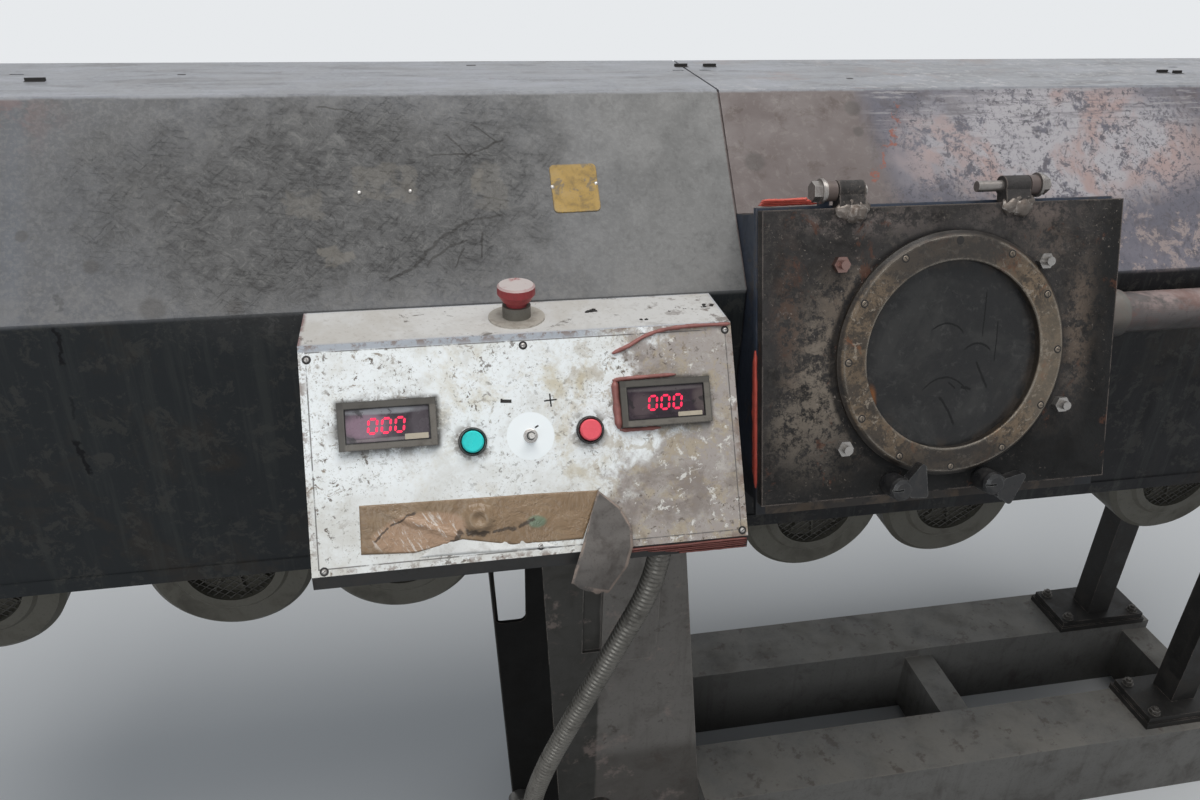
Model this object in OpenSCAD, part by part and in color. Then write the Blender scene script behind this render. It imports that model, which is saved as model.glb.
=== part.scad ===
// Barrel unit of a plastic extruder with guard hood, control console and vent hatch.
// Units are millimetres. +X runs along the barrel to the die end, -Y is the operator's side, Z is up.
// The origin lies on the floor, under the barrel's axis and under the seam of the guard hood.

/* [Barrel] */
// Height of the barrel's axis above the floor
axis_z = 1060; // [1000:5:1150]
// Outer diameter of the barrel
barrel_d = 180; // [160:2:200]
// Bore of the barrel
bore_d = 100; // [90:2:110]
// Length of the barrel's tube between its end flanges
barrel_l = 2360; // [2360:10:2600]
// Diameter of both end flanges
flange_d = 330; // [300:5:360]
// Thickness of both end flanges
flange_t = 45; // [30:1:60]
// Bolt circle of both end flanges
flange_pcd = 270; // [255:5:280]
// Number of bolt holes in each end flange
flange_bolts = 8; // [6:1:12]
// Diameter of the bolt holes in the end flanges
flange_hole_d = 18; // [14:1:22]

/* [Screw] */
// Gap between the screw's flights and the bore, all round
screw_gap = 0.4; // [0.3:0.1:1]
// Diameter of the screw's root
screw_root_d = 70; // [60:1:76]
// Pitch of the screw's flight
screw_pitch = 110; // [90:5:130]
// Distance from the screw's tip to the outer face of the die flange
tip_setback = 60; // [50:5:120]

/* [Heating and cooling zones] */
// Outer diameter of the zone jackets
jacket_d = 280; // [250:2:300]
// Length of one zone jacket
jacket_l = 140; // [120:2:145]
// Diameter of a blower's scroll casing
blower_d = 220; // [200:2:220]
// Width of a blower's scroll casing along Y
blower_w = 90; // [70:2:100]
// Height of the blowers' axes above the floor
blower_z = 730; // [700:5:760]
// Front face of the blowers, measured forward from the barrel's axis
blower_front = 158; // [150:2:175]
// Diameter of a blower's round inlet
inlet_d = 120; // [90:2:130]
// Diameter of a blower's motor
motor_d = 110; // [90:2:120]

/* [Guard hood] */
// Overall width of the guard hood across its upright sides
guard_w = 550; // [530:5:600]
// Width of the hood's flat top
guard_top_w = 210; // [180:5:240]
// Height of the hood's flat top above the floor
guard_top_z = 1332; // [1310:2:1360]
// Height of the bend between the slope and the upright side
guard_bend_z = 1142; // [1130:2:1150]
// Gap between the pedestal's top and the hood's lower edge
hood_gap = 4; // [2:1:30]
// Thickness of the hood's sheet
guard_t = 3; // [2:0.5:4]
// Distance between each end of the hood and the end flange beside it
guard_inset = 78.5; // [70:0.5:100]
// Gap between the two hood sections at their seam
seam_gap = 3; // [1:0.5:6]
// Height of the folded hem along the lower edge
hem_h = 18; // [10:1:25]

/* [Pedestal and base] */
// Width of the pedestal's top along X
pedestal_w = 211; // [200:1:220]
// Width of the pedestal along X at the floor
pedestal_foot_w = 259; // [240:1:280]
// Shift of the pedestal's left-hand side from its top to the floor
foot_shift = 43; // [0:1:50]
// Depth of the pedestal along Y
pedestal_d = 300; // [280:5:330]
// Height of the pedestal's top plate
pedestal_h = 800; // [760:5:802]
// Left-hand side of the pedestal's top, from the seam
pedestal_left = -229; // [-235:1:-225]
// Width of the cable column beside the pedestal
column_w = 77; // [60:1:78]
// Depth of the cable column
column_d = 86; // [70:2:100]
// Width of each base beam
beam_w = 120; // [100:5:140]
// Height of each base beam
beam_h = 160; // [140:5:200]
// Clear distance between the two base beams
beam_apart = 166; // [150:2:180]
// Distance between the base beams' right-hand end and the die flange
beam_inset = 30; // [0:5:40]
// Side of the square legs
leg_side = 50; // [40:2:60]
// Distance between the legs' middle and the die flange
leg_inset = 149; // [140:1:170]
// Distance of the legs from the barrel's axis
leg_y = 128; // [120:1:135]
// Thickness of each foot plate
foot_t = 12; // [8:1:16]

/* [Control console] */
// Width of the console
console_w = 445; // [435:1:460]
// Left-hand side of the console, from the seam
console_left = -491; // [-520:1:-490]
// Depth of the console's top face
console_top_d = 81; // [75:1:100]
// Height of the console's top rear edge
console_top_z = 1140; // [1120:1:1142]
// Length of the sloping front plate
plate_h = 227; // [222:1:240]
// Lean of the front plate from upright, in degrees
plate_lean = 31.75; // [25:0.25:35]
// Thickness of the front plate
plate_t = 2; // [1.5:0.5:3]
// Height of the lip below the front plate
lip_h = 15; // [10:1:20]
// Width of a panel meter
meter_w = 96; // [90:1:100]
// Height of a panel meter
meter_h = 48; // [44:1:52]
// Diameter of the push buttons' bezels
bezel_d = 29; // [27:1:32]
// Diameter of the emergency stop's head
estop_d = 40; // [38:1:44]

/* [Vent hatch] */
// Width of the hatch door
door_w = 431; // [420:1:440]
// Height of the hatch door along its plane
door_h = 326; // [320:1:332]
// Thickness of the hatch door
door_t = 14; // [10:1:16]
// Lean of the hatch door from upright, in degrees
door_lean = 17.57; // [16:0.25:19]
// Gap between the door and its frame, which a gasket fills in part
door_gap = 5; // [5:0.5:8]
// Outer diameter of the sight glass's ring
ring_d = 278; // [268:1:284]
// Bevel round the ring's outer edge
ring_bevel = 6; // [2:0.5:8]
// Diameter of the glass that shows inside the ring
glass_d = 213; // [200:1:220]
// Diameter of the hinge pins
pin_d = 12; // [10:0.5:12]
// Running clearance of the hinge pins, on the radius
pin_gap = 0.1; // [0.05:0.05:0.2]
// Outer diameter of the vacuum pipe
pipe_d = 50; // [40:1:54]
// Free end of the vacuum pipe, from the seam
pipe_end = 720; // [700:5:800]

/* [Hidden] */

$fn = 64;
// Hidden overshoot of a cut beyond the faces that it passes through
cut = 1;
// Distance between two faces that are seated on each other without touching
seat = 0.3;

guard_half = guard_w / 2;
guard_low_z = pedestal_h + hood_gap;
guard_top_half = guard_top_w / 2;
guard_l = (barrel_l - seam_gap) / 2 - guard_inset;
leg_x = barrel_l / 2 - leg_inset;
beam_end = barrel_l / 2 - beam_inset;
door_left = -9;
vent_in = 310;
vent_x = door_left + vent_in;
// Blowers: two left of the console and one behind it, two beside the vent and one near the die
blower_gap = 5;
blower_share = [-0.408, 0.3453];
vent_blower_at = [-111, 116];
third_x = pedestal_left - column_w - blower_gap - blower_d / 2;
blower_x = [
    blower_share[0] * barrel_l, third_x - blower_gap - blower_d, third_x,
    vent_x + vent_blower_at[0], vent_x + vent_blower_at[1], blower_share[1] * barrel_l
];
door_top_y = -318;
door_top_z = 1249;
console_rear_y = -guard_half;
plate_top_y = console_rear_y - console_top_d;
plate_top_z = console_top_z;
plate_seat = 0.05;
plate_foot_y = plate_top_y - plate_h * sin(plate_lean);
plate_foot_z = plate_top_z - plate_h * cos(plate_lean);
console_low_z = plate_foot_z - lip_h;
// The side of the hood from the flat top to the lower edge, as points across Y and Z
slope_run = guard_half - guard_top_half;
slope_rise = guard_top_z - guard_bend_z;

slope_a = atan2(slope_rise, slope_run);
// Base: cross members, foot plates and saddles
cross_w = 60;
cross_inset = 20;
foot_l = 200;
foot_w = 110;
foot_out = 6;
foot_step = 4;
saddle_low_z = axis_z - barrel_d * 2 / 3;
saddle_high_z = axis_z - barrel_d / 6;
saddle_l = 90;
saddle_w = 220;
// Pedestal: cover plate, groove beside it and hole in the foot
cover_left = -129;
cover_w = 89;
cover_t = 3;
cover_low_z = 465;
groove_w = 30;
groove_deep = 6;
groove_low_z = 488;
foot_hole_x = -125;
foot_hole_z = 120;
foot_hole_d = 52;
foot_hole_deep = 40;
// Cable column: wall and window
column_t = 6;
window_in = 6;
window_w = 46;
window_r = 10;
window_down = 40;
window_h = 192;
window_high_z = pedestal_h - window_down;
window_low_z = window_high_z - window_h;
// Blowers: duct, plenum and motor
duct_w = 80;
casing_bevel = 8;
duct_in = 3;
duct_front = 14;
duct_y = duct_front - blower_front;
duct_d = blower_w - duct_front - casing_bevel - 4;
duct_flange_t = 8;
duct_flange_out = 6;
plenum_low_z = axis_z - jacket_d / 2 - 20;
plenum_high_z = axis_z - jacket_d / 4;
motor_l = 130;
motor_box_w = 44;
inlet_deep = 22;
inlet_lip = 8;
face_back = 5;
hub_d = 50;
vanes = 9;
vane_t = 3;
// Jackets: end rims, terminal box and split
jacket_rim = 14;
jacket_dip = 4;
terminal_w = 70;
terminal_d = 50;
terminal_h = 22;
split_w = 4;
split_deep = 8;
// Barrel: end collars, and the seat in the die flange
collar_out = 30;
barrel_collar_l = 30;
die_seat_d = 130;
die_seat_deep = 15;
// Screw: shank and flight
shank_l = 150;
flight_share = 0.1;
turn_slices = 10;
// Hood: hem, end plates and rib
hem_t = 2;
top_slot_l = 15;
top_slot_w = 5;
top_slot_y = 25;
left_slots = [-0.7483, -0.0191];
right_slots = [0.0145, 0.6627];
guard_end_t = 5;
rib_w = 24;
rib_lap = 8;
rib_t = 4;
// Vent box, throat and port
box_side = 10.5;
box_w = 411;
box_right = door_left + box_side + box_w;
box_low = 8;
box_high = 4;
box_t = 6;
box_reach = guard_half;
box_rear_y = -196;
box_flange_t = 8;
box_clearance = 0.5;
flange_low = 16;
flange_high = 3;
port_w = 60;
port_h = 64;
throat_h = 100;
throat_t = 8;
// Hatch hinge: pin's place behind and above the door's upper edge, lugs and ears
pin_y = door_t / 2;
pin_z = 18;
lug_d = 22;
lug_w = 30;
lug_x = [85, 281];
lug_foot = [-5, 4];
ear_w = 11;
ear_x = [72.5, 312];
washer_d = 27;
washer_t = 3;
head_d = 22;
head_h = 9;
pin_out = 4;
stub_l = 30;
// Sight glass, studs and knobs, as places right of and below the door's upper left corner
ring_at = [224, 167];
ring_t = 10;
glass_seat_d = glass_d + 16;
glass_back = door_t - 3;
stud_at = [[88, 60], [333, 66], [96, 265], [365, 233]];
stud_d = 10;
stud_l = 16;
nut_d = 19;
nut_h = 8;
left_knob_at = [154, 311];
right_knob_at = [268, 314];
right_knob_turn = -35;
knob_d = 27;
knob_h = 34;
knob_gap = 0.5;
knob_stud_d = 10;
knob_stud_l = 20;
wing_t = 13;
wing_set_back = 1;
wing_round = 4;
wing_corners = [[12, -6], [26, -7], [23, 24], [10, 10]];
// Vacuum pipe
pipe_t = 4;
pipe_y = -306;
pipe_z = 1100;
collar_d = 58;
collar_l = 56;
// Console: meters, buttons, shaft and emergency stop
left_meter_at = [34, 59];
right_meter_at = [318, 56];
meter_proud = 8;
meter_edge = 7;
meter_sunk = 3;
green_at = [164, 106.5];
red_at = [284.5, 103.5];
shaft_at = [223, 105];
slide_gap = 0.3;
button_d = 22;
button_deep = 22;
button_travel = 3;
button_bevel = 1.5;
plunger_gap = 3;
bezel_h = 5;
cap_proud = 5;
shaft_d = 6;
shaft_gap = 0.1;
shaft_deep = 20;
shaft_proud = 16;
bush_d = 10;
bush_h = 5;
estop_x = 221;
estop_back = 40;
estop_disc_d = 60;
estop_disc_t = 2;
estop_collar_d = 30;
estop_collar_h = 15;
estop_stem_d = 22;
estop_deep = 20;
estop_travel = 4;
estop_skirt_z = 20;
estop_rim_z = 28;
estop_top_z = 38;
// Conduit: its route from the console's gland to the cable column's gland
conduit_d = 28;
gland_d = 38;
gland_h = 20;
gland_floor = 4;
gland_gap = 0.8;
conduit_end = [-262, -pedestal_d / 2 - gland_floor, 176];
conduit_bend_r = 130;
conduit_bend_y = conduit_end[1] - 22;
conduit_route = [
    [-112, -380, console_low_z - gland_floor], [-112, -380, console_low_z - gland_h - 10], [-116, -379, 836],
    [-129, -376, 784], [-149, -371, 731], [-182, -362, 644], [-214, -351, 557], [-242, -338, 470],
    [-258, -321, 388],
    [conduit_end[0], conduit_bend_y - conduit_bend_r, conduit_end[2] + conduit_bend_r],
    [conduit_end[0], conduit_bend_y - conduit_bend_r, conduit_end[2] + conduit_bend_r - 80]
];

// Places shapes in the plane of the console's front plate: X to the right, Z up along the plate
module on_plate(x, down) {
    translate([console_left, plate_top_y, plate_top_z])
        rotate([-plate_lean, 0, 0])
            translate([x, 0, -down])
                children();
}

// Places shapes in the plane of the hatch door's outer face, from its upper left corner
module on_hatch(x = 0, down = 0) {
    translate([door_left, door_top_y, door_top_z])
        rotate([-door_lean, 0, 0])
            translate([x, 0, -down])
                children();
}

// A cylinder whose axis runs along X from its origin
module rod_x(d, l) {
    rotate([0, 90, 0])
        cylinder(d = d, h = l);
}

// A cylinder whose axis runs along +Y from its origin
module rod_y(d, l) {
    rotate([-90, 0, 0])
        cylinder(d = d, h = l);
}

// Height of the bend and half the top's width of the hood's outline, drawn inset by d
function hood_bend_z(d) = guard_bend_z + d * (tan(slope_a) - 1 / cos(slope_a));
function hood_top_half(d) = guard_top_half - d * (1 / sin(slope_a) - 1 / tan(slope_a));

// The cross-section of the hood, drawn smaller by d on its top and sides
module hood_profile(d) {
    half = guard_half - d;
    polygon([
        [-half, guard_low_z], [-half, hood_bend_z(d)], [-hood_top_half(d), guard_top_z - d],
        [hood_top_half(d), guard_top_z - d], [half, hood_bend_z(d)], [half, guard_low_z]
    ]);
}

// Extrudes a profile drawn across Y and Z along X
module along_x(x, l) {
    translate([x, 0, 0])
        rotate([90, 0, 90])
            linear_extrude(l)
                children();
}

// Extrudes a profile drawn across X and Z along Y
module along_y(y, l) {
    translate([0, y + l, 0])
        rotate([90, 0, 0])
            linear_extrude(l)
                children();
}

// Turns a profile, drawn as radius and depth, about an axis along +Y
module turned_y(points) {
    rotate([-90, 0, 0])
        rotate_extrude()
            polygon(points);
}

// Turns a profile, drawn as radius and length, about an axis along +X
module turned_x(points) {
    rotate([0, 90, 0])
        rotate_extrude()
            polygon(points);
}

// The pedestal's left-hand and right-hand sides at a height
function left_at(z) = pedestal_left + foot_shift * (1 - z / pedestal_h);
function right_at(z) = left_at(z) + pedestal_w + (pedestal_foot_w - pedestal_w) * (1 - z / pedestal_h);

// The bore that passes over the barrel, along the whole machine
module barrel_clearance() {
    translate([-barrel_l, 0, axis_z])
        rod_x(barrel_d + 2 * seat, 2 * barrel_l);
}

module base_frame() {
    color([0.33, 0.33, 0.32])
        union() {
            for (side = [-1, 1])
                along_y(side * (beam_apart + beam_w) / 2 - beam_w / 2, beam_w)
                    polygon([
                        [right_at(0), 0], [beam_end, 0], [beam_end, beam_h], [right_at(beam_h), beam_h]
                    ]);
            for (x = [beam_end / 2, beam_end - cross_w])
                translate([x, -beam_apart / 2 - cut, cross_inset])
                    cube([cross_w, beam_apart + 2 * cut, beam_h - 2 * cross_inset]);
        }
}

// The pedestal with its cover plate, the groove beside the plate and the hole in its foot
module pedestal() {
    color([0.36, 0.36, 0.34])
        difference() {
            union() {
                along_y(-pedestal_d / 2, pedestal_d)
                    polygon([
                        [left_at(0), 0], [right_at(0), 0],
                        [right_at(pedestal_h), pedestal_h], [left_at(pedestal_h), pedestal_h]
                    ]);
                translate([cover_left, -pedestal_d / 2 - cover_t, cover_low_z])
                    cube([cover_w, cover_t + cut, pedestal_h - cover_low_z]);
            }
            translate([cover_left - groove_w, -pedestal_d / 2 - cut, groove_low_z])
                cube([groove_w, groove_deep + cut, pedestal_h - groove_low_z + cut]);
            translate([foot_hole_x, -pedestal_d / 2 - cut, foot_hole_z])
                rod_y(foot_hole_d, foot_hole_deep + cut);
        }
}

// The column's outline across X and Z, narrower by d on each side and longer by e at each end
module column_outline(d, e) {
    polygon([
        [left_at(-e) - column_w + d, -e], [left_at(-e) - d, -e],
        [left_at(pedestal_h + e) - d, pedestal_h + e],
        [left_at(pedestal_h + e) - column_w + d, pedestal_h + e]
    ]);
}

// The window's outline, with round corners
module window_outline() {
    translate([left_at((window_low_z + window_high_z) / 2) - column_w + window_in, window_low_z]) {
        for (x = [window_r, window_w - window_r], z = [window_r, window_h - window_r])
            translate([x, z])
                circle(window_r);
        translate([window_r, 0])
            square([window_w - 2 * window_r, window_h]);
        translate([0, window_r])
            square([window_w, window_h - 2 * window_r]);
    }
}

// The column for cables and hoses: a channel that is open to the rear, with a window in its front
module cable_column() {
    color([0.25, 0.25, 0.25])
        difference() {
            along_y(-pedestal_d / 2, column_d)
                column_outline(0, 0);
            along_y(-pedestal_d / 2 + column_t, column_d)
                column_outline(column_t, cut);
            along_y(-pedestal_d / 2 - cut, column_t + 2 * cut)
                window_outline();
        }
}

// A square leg on its two foot plates, on one base beam
module leg(side) {
    color([0.3, 0.3, 0.3])
        union() {
            translate([leg_x - foot_l / 2, side * (leg_y + foot_out) - foot_w / 2, beam_h])
                cube([foot_l, foot_w, foot_t]);
            translate([
                leg_x - foot_l / 2 + foot_step,
                side * (leg_y + foot_out) - foot_w / 2 + foot_step,
                beam_h + foot_t
            ])
                cube([foot_l - 2 * foot_step, foot_w - 2 * foot_step, foot_t]);
            translate([leg_x - leg_side / 2, side * leg_y - leg_side / 2, beam_h + 2 * foot_t])
                cube([leg_side, leg_side, saddle_low_z - beam_h - 2 * foot_t]);
        }
}

module leg_front() {
    leg(-1);
}

module leg_rear() {
    leg(1);
}

// A block with a round seat for the barrel
module saddle(x, l, w, low_z) {
    color([0.28, 0.28, 0.28])
        difference() {
            translate([x - l / 2, -w / 2, low_z])
                cube([l, w, saddle_high_z - low_z]);
            barrel_clearance();
        }
}

module mid_saddle() {
    saddle(pedestal_left + pedestal_w / 2, saddle_l, saddle_w, pedestal_h);
}

module end_saddle() {
    saddle(leg_x, leg_side, 2 * leg_y + leg_side, saddle_low_z);
}

// The barrel's tube with a collar at each end for the flange, and the vent port in its front
module barrel() {
    color([0.42, 0.42, 0.42])
        difference() {
            union() {
                translate([-barrel_l / 2, 0, axis_z])
                    rod_x(barrel_d, barrel_l);
                for (x = [-barrel_l / 2, barrel_l / 2 - barrel_collar_l])
                    translate([x, 0, axis_z])
                        rod_x(barrel_d + 2 * collar_out, barrel_collar_l);
            }
            translate([-barrel_l / 2 - cut, 0, axis_z])
                rod_x(bore_d, barrel_l + 2 * cut);
            translate([vent_x - port_w / 2, -barrel_d, axis_z - port_h / 2])
                cube([port_w, barrel_d, port_h]);
        }
}

// The cross-section of the screw: its root and one flight
module flight_section() {
    half = 180 * flight_share;
    r = bore_d / 2 - screw_gap;
    circle(d = screw_root_d, $fn = 16);
    polygon([
        [0, 0], [screw_root_d / 2 * cos(1.3 * half), -screw_root_d / 2 * sin(1.3 * half)],
        [r * cos(half), -r * sin(half)], [r, 0], [r * cos(half), r * sin(half)],
        [screw_root_d / 2 * cos(1.3 * half), screw_root_d / 2 * sin(1.3 * half)]
    ]);
}

// The screw: a plain shank at the feed end, then one helical flight up to the tip
module screw() {
    flight_l = barrel_l + 2 * flange_t - shank_l - tip_setback - screw_root_d / 2;
    turns = flight_l / screw_pitch;
    color([0.6, 0.6, 0.6])
        translate([-barrel_l / 2 - flange_t, 0, axis_z])
            rotate([0, 90, 0])
                union() {
                    cylinder(r = bore_d / 2 - screw_gap, h = shank_l);
                    translate([0, 0, shank_l - cut])
                        linear_extrude(
                            flight_l + cut, twist = -360 * turns, slices = ceil(turns * turn_slices), $fn = 16
                        )
                            flight_section();
                    translate([0, 0, shank_l + flight_l - cut])
                        cylinder(
                            d1 = screw_root_d, d2 = screw_root_d / 4, h = screw_root_d / 2 + cut, $fn = 16
                        );
                }
}

// A flange bolted to one end of the barrel
module end_flange(x) {
    color([0.4, 0.4, 0.4])
        translate([x, 0, axis_z])
            difference() {
                rod_x(flange_d, flange_t);
                translate([-cut, 0, 0])
                    rod_x(bore_d, flange_t + 2 * cut);
                for (i = [0 : flange_bolts - 1])
                    rotate([360 / flange_bolts * (i + 0.5), 0, 0])
                        translate([-cut, 0, flange_pcd / 2])
                            rod_x(flange_hole_d, flange_t + 2 * cut);
            }
}

module feed_flange() {
    end_flange(-barrel_l / 2 - flange_t);
}

// The die flange also has the seat for the breaker plate
module die_flange() {
    color([0.4, 0.4, 0.4])
        difference() {
            end_flange(barrel_l / 2);
            translate([barrel_l / 2 + flange_t - die_seat_deep, 0, axis_z])
                rod_x(die_seat_d, die_seat_deep + cut);
        }
}

// A jacket round the barrel: rims at its ends, a terminal box on top, a split behind,
// and the plenum that the blower's duct feeds
module jacket(i) {
    r = jacket_d / 2;
    color([0.45, 0.45, 0.43])
        difference() {
            union() {
                translate([blower_x[i] - jacket_l / 2, 0, axis_z])
                    turned_x([
                        [0, 0], [r, 0], [r, jacket_rim], [r - jacket_dip, jacket_rim + jacket_dip],
                        [r - jacket_dip, jacket_l - jacket_rim - jacket_dip], [r, jacket_l - jacket_rim],
                        [r, jacket_l], [0, jacket_l]
                    ]);
                translate([blower_x[i] - jacket_l / 2, duct_y, plenum_low_z])
                    cube([(jacket_l + blower_d) / 2 - duct_in, duct_d, plenum_high_z - plenum_low_z]);
                translate([blower_x[i] - terminal_w / 2, -terminal_d / 2, axis_z + r - terminal_h / 2])
                    cube([terminal_w, terminal_d, terminal_h * 1.5]);
            }
            translate([blower_x[i] - jacket_l, r - split_deep, axis_z - split_w / 2])
                cube([2 * jacket_l, 2 * split_deep, split_w]);
            barrel_clearance();
        }
}

module jacket_1() {
    jacket(0);
}

module jacket_2() {
    jacket(1);
}

module jacket_3() {
    jacket(2);
}

module jacket_4() {
    jacket(3);
}

module jacket_5() {
    jacket(4);
}

module jacket_6() {
    jacket(5);
}

// A blower: round casing with a moulded ring round its inlet, the impeller behind the inlet,
// its flanged duct upward and its motor behind
module blower(i) {
    r = blower_d / 2;
    lip_r = inlet_d / 2 + inlet_lip / 2;
    color([0.27, 0.26, 0.22])
        translate([blower_x[i], -blower_front, blower_z]) {
            difference() {
                union() {
                    turned_y([
                        [0, 0], [lip_r + inlet_lip, 0], [lip_r + inlet_lip + face_back, face_back],
                        [r - casing_bevel, face_back], [r, face_back + casing_bevel],
                        [r, blower_w - casing_bevel], [r - casing_bevel, blower_w], [0, blower_w]
                    ]);
                    translate([r - duct_w - duct_in, duct_front, 0])
                        cube([duct_w, duct_d, plenum_low_z - blower_z]);
                    translate([r - duct_w - duct_in, duct_front, plenum_low_z - blower_z - duct_flange_t])
                        translate([-duct_flange_out, -duct_flange_out, 0])
                            cube([duct_w + 2 * duct_flange_out, duct_d + 2 * duct_flange_out, duct_flange_t]);
                    translate([0, blower_w - cut, 0])
                        turned_y([
                            [0, 0], [motor_d / 2, 0], [motor_d / 2, motor_l - casing_bevel],
                            [motor_d / 2 - casing_bevel, motor_l], [0, motor_l]
                        ]);
                    translate([-motor_box_w / 2, blower_w + motor_l / 4, motor_d / 4])
                        cube([motor_box_w, motor_l / 2, motor_d / 2]);
                }
                translate([0, -cut, 0])
                    rod_y(inlet_d, inlet_deep + cut);
            }
            translate([0, inlet_deep / 2, 0])
                rod_y(hub_d, inlet_deep / 2 + cut);
            for (k = [0 : vanes - 1])
                rotate([0, 360 / vanes * k, 0])
                    translate([hub_d / 2 - vane_t, inlet_deep / 2 + vane_t, -vane_t / 2])
                        cube([(inlet_d - hub_d) / 2, inlet_deep / 2 - vane_t + cut, vane_t]);
        }
}

module blower_1() {
    blower(0);
}

module blower_2() {
    blower(1);
}

module blower_3() {
    blower(2);
}

module blower_4() {
    blower(3);
}

module blower_5() {
    blower(4);
}

module blower_6() {
    blower(5);
}

// One section of the hood with the folded hem along both lower edges
module guard_section(x) {
    hem_z = guard_low_z + hem_h;
    bend = hood_bend_z(guard_t);
    along_x(x, guard_l)
        polygon([
            [-guard_half - hem_t, guard_low_z], [-guard_half - hem_t, hem_z], [-guard_half, hem_z],
            [-guard_half, guard_bend_z], [-guard_top_half, guard_top_z],
            [guard_top_half, guard_top_z], [guard_half, guard_bend_z],
            [guard_half, hem_z], [guard_half + hem_t, hem_z], [guard_half + hem_t, guard_low_z],
            [guard_half - guard_t, guard_low_z], [guard_half - guard_t, bend],
            [hood_top_half(guard_t), guard_top_z - guard_t], [-hood_top_half(guard_t), guard_top_z - guard_t],
            [-guard_half + guard_t, bend], [-guard_half + guard_t, guard_low_z]
        ]);
}

// The lifting slots in the hood's flat top, given as shares of a section's length
module top_slots(shares) {
    for (share = shares)
        translate([share * guard_l, top_slot_y, guard_top_z - guard_t - cut])
            cube([top_slot_l, top_slot_w, guard_t + 2 * cut]);
}

module guard_left() {
    color([0.32, 0.32, 0.33])
        difference() {
            guard_section(-guard_l - seam_gap / 2);
            top_slots(left_slots);
        }
}

module guard_right() {
    color([0.34, 0.33, 0.35])
        difference() {
            guard_section(seam_gap / 2);
            top_slots(right_slots);
            vent_box_body(box_clearance);
        }
}

// A plate that closes one end of the hood round the barrel
module guard_end(x) {
    color([0.3, 0.3, 0.32])
        difference() {
            along_x(x, guard_end_t)
                hood_profile(guard_t);
            barrel_clearance();
        }
}

module guard_end_left() {
    guard_end(-guard_l - seam_gap / 2);
}

module guard_end_right() {
    guard_end(guard_l + seam_gap / 2 - guard_end_t);
}

// The rib under the seam: a plate on the barrel and a band that both hood sections lie on
module guard_rib() {
    color([0.3, 0.3, 0.32])
        difference() {
            union() {
                along_x(-rib_w, guard_end_t)
                    hood_profile(guard_t);
                along_x(-rib_w, rib_w + rib_lap)
                    difference() {
                        hood_profile(guard_t);
                        hood_profile(guard_t + rib_t);
                        translate([-guard_half, guard_low_z - cut])
                            square([guard_w, 2 * cut]);
                    }
            }
            barrel_clearance();
            vent_box_body(box_clearance);
        }
}

// A point on the plate's seat, a given way down it
function behind_plate(down) = [
    plate_top_y + (plate_t + plate_seat) * cos(plate_lean) - down * sin(plate_lean),
    plate_top_z - (plate_t + plate_seat) * sin(plate_lean) - down * cos(plate_lean)
];

// The console's side outline across Y and Z, with the step that the front plate lies in
module console_outline() {
    polygon([
        [console_rear_y, console_low_z], [console_rear_y, console_top_z],
        [plate_top_y + plate_seat / sin(plate_lean), plate_top_z],
        behind_plate(-plate_seat), behind_plate(plate_h + plate_seat),
        [plate_foot_y, plate_foot_z - plate_seat / cos(plate_lean)], [plate_foot_y, console_low_z]
    ]);
}

module console_case() {
    color([0.62, 0.6, 0.57])
        difference() {
            along_x(console_left, console_w)
                console_outline();
            panel_bores(button_deep, shaft_deep);
            translate([console_left + estop_x, console_rear_y - estop_back, console_top_z - estop_deep])
                cylinder(d = estop_stem_d + 2 * slide_gap, h = estop_deep + cut);
        }
}

// The bores for the buttons and the speed shaft, from outside the plate inward
module panel_bores(deep, shaft) {
    for (p = [green_at, red_at])
        on_plate(p[0], p[1])
            translate([0, -cut, 0])
                rod_y(button_d + 2 * slide_gap, deep + cut);
    on_plate(shaft_at[0], shaft_at[1])
        translate([0, -cut, 0])
            rod_y(shaft_d + 2 * shaft_gap, shaft + cut);
}

module console_plate() {
    color([0.85, 0.85, 0.82])
        difference() {
            on_plate(0, plate_h)
                cube([console_w, plate_t, plate_h]);
            panel_bores(plate_t + cut, plate_t + cut);
        }
}

// The two display housings on the plate, each with a sunk window
module panel_meters() {
    color([0.15, 0.15, 0.15])
        for (p = [left_meter_at, right_meter_at])
            on_plate(p[0], p[1] + meter_h)
                difference() {
                    translate([0, -meter_proud, 0])
                        cube([meter_w, meter_proud, meter_h]);
                    translate([meter_edge, -meter_proud - cut, meter_edge])
                        cube([meter_w - 2 * meter_edge, meter_sunk + cut, meter_h - 2 * meter_edge]);
                }
}

module button_bezels() {
    inner = button_d / 2 + slide_gap;
    color([0.7, 0.7, 0.7]) {
        for (p = [green_at, red_at])
            on_plate(p[0], p[1])
                translate([0, -bezel_h, 0])
                    turned_y([
                        [inner, button_bevel], [inner + button_bevel, 0], [bezel_d / 2 - button_bevel, 0],
                        [bezel_d / 2, button_bevel], [bezel_d / 2, bezel_h], [inner, bezel_h]
                    ]);
        on_plate(shaft_at[0], shaft_at[1])
            translate([0, -bush_h, 0])
                turned_y([
                    [shaft_d / 2 + shaft_gap, 0], [bush_d / 2 - button_bevel, 0], [bush_d / 2, button_bevel],
                    [bush_d / 2, bush_h], [shaft_d / 2 + shaft_gap, bush_h]
                ]);
    }
}

// A push button, from its proud cap to the end of its plunger
module push_button(p, tint) {
    r = button_d / 2;
    l = bezel_h + cap_proud + button_deep - button_travel - plunger_gap;
    color(tint)
        on_plate(p[0], p[1])
            translate([0, -bezel_h - cap_proud, 0])
                turned_y([[0, 0], [r - button_bevel, 0], [r, button_bevel], [r, l], [0, l]]);
}

module green_button() {
    push_button(green_at, [0.05, 0.5, 0.4]);
}

module red_button() {
    push_button(red_at, [0.8, 0.1, 0.12]);
}

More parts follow.
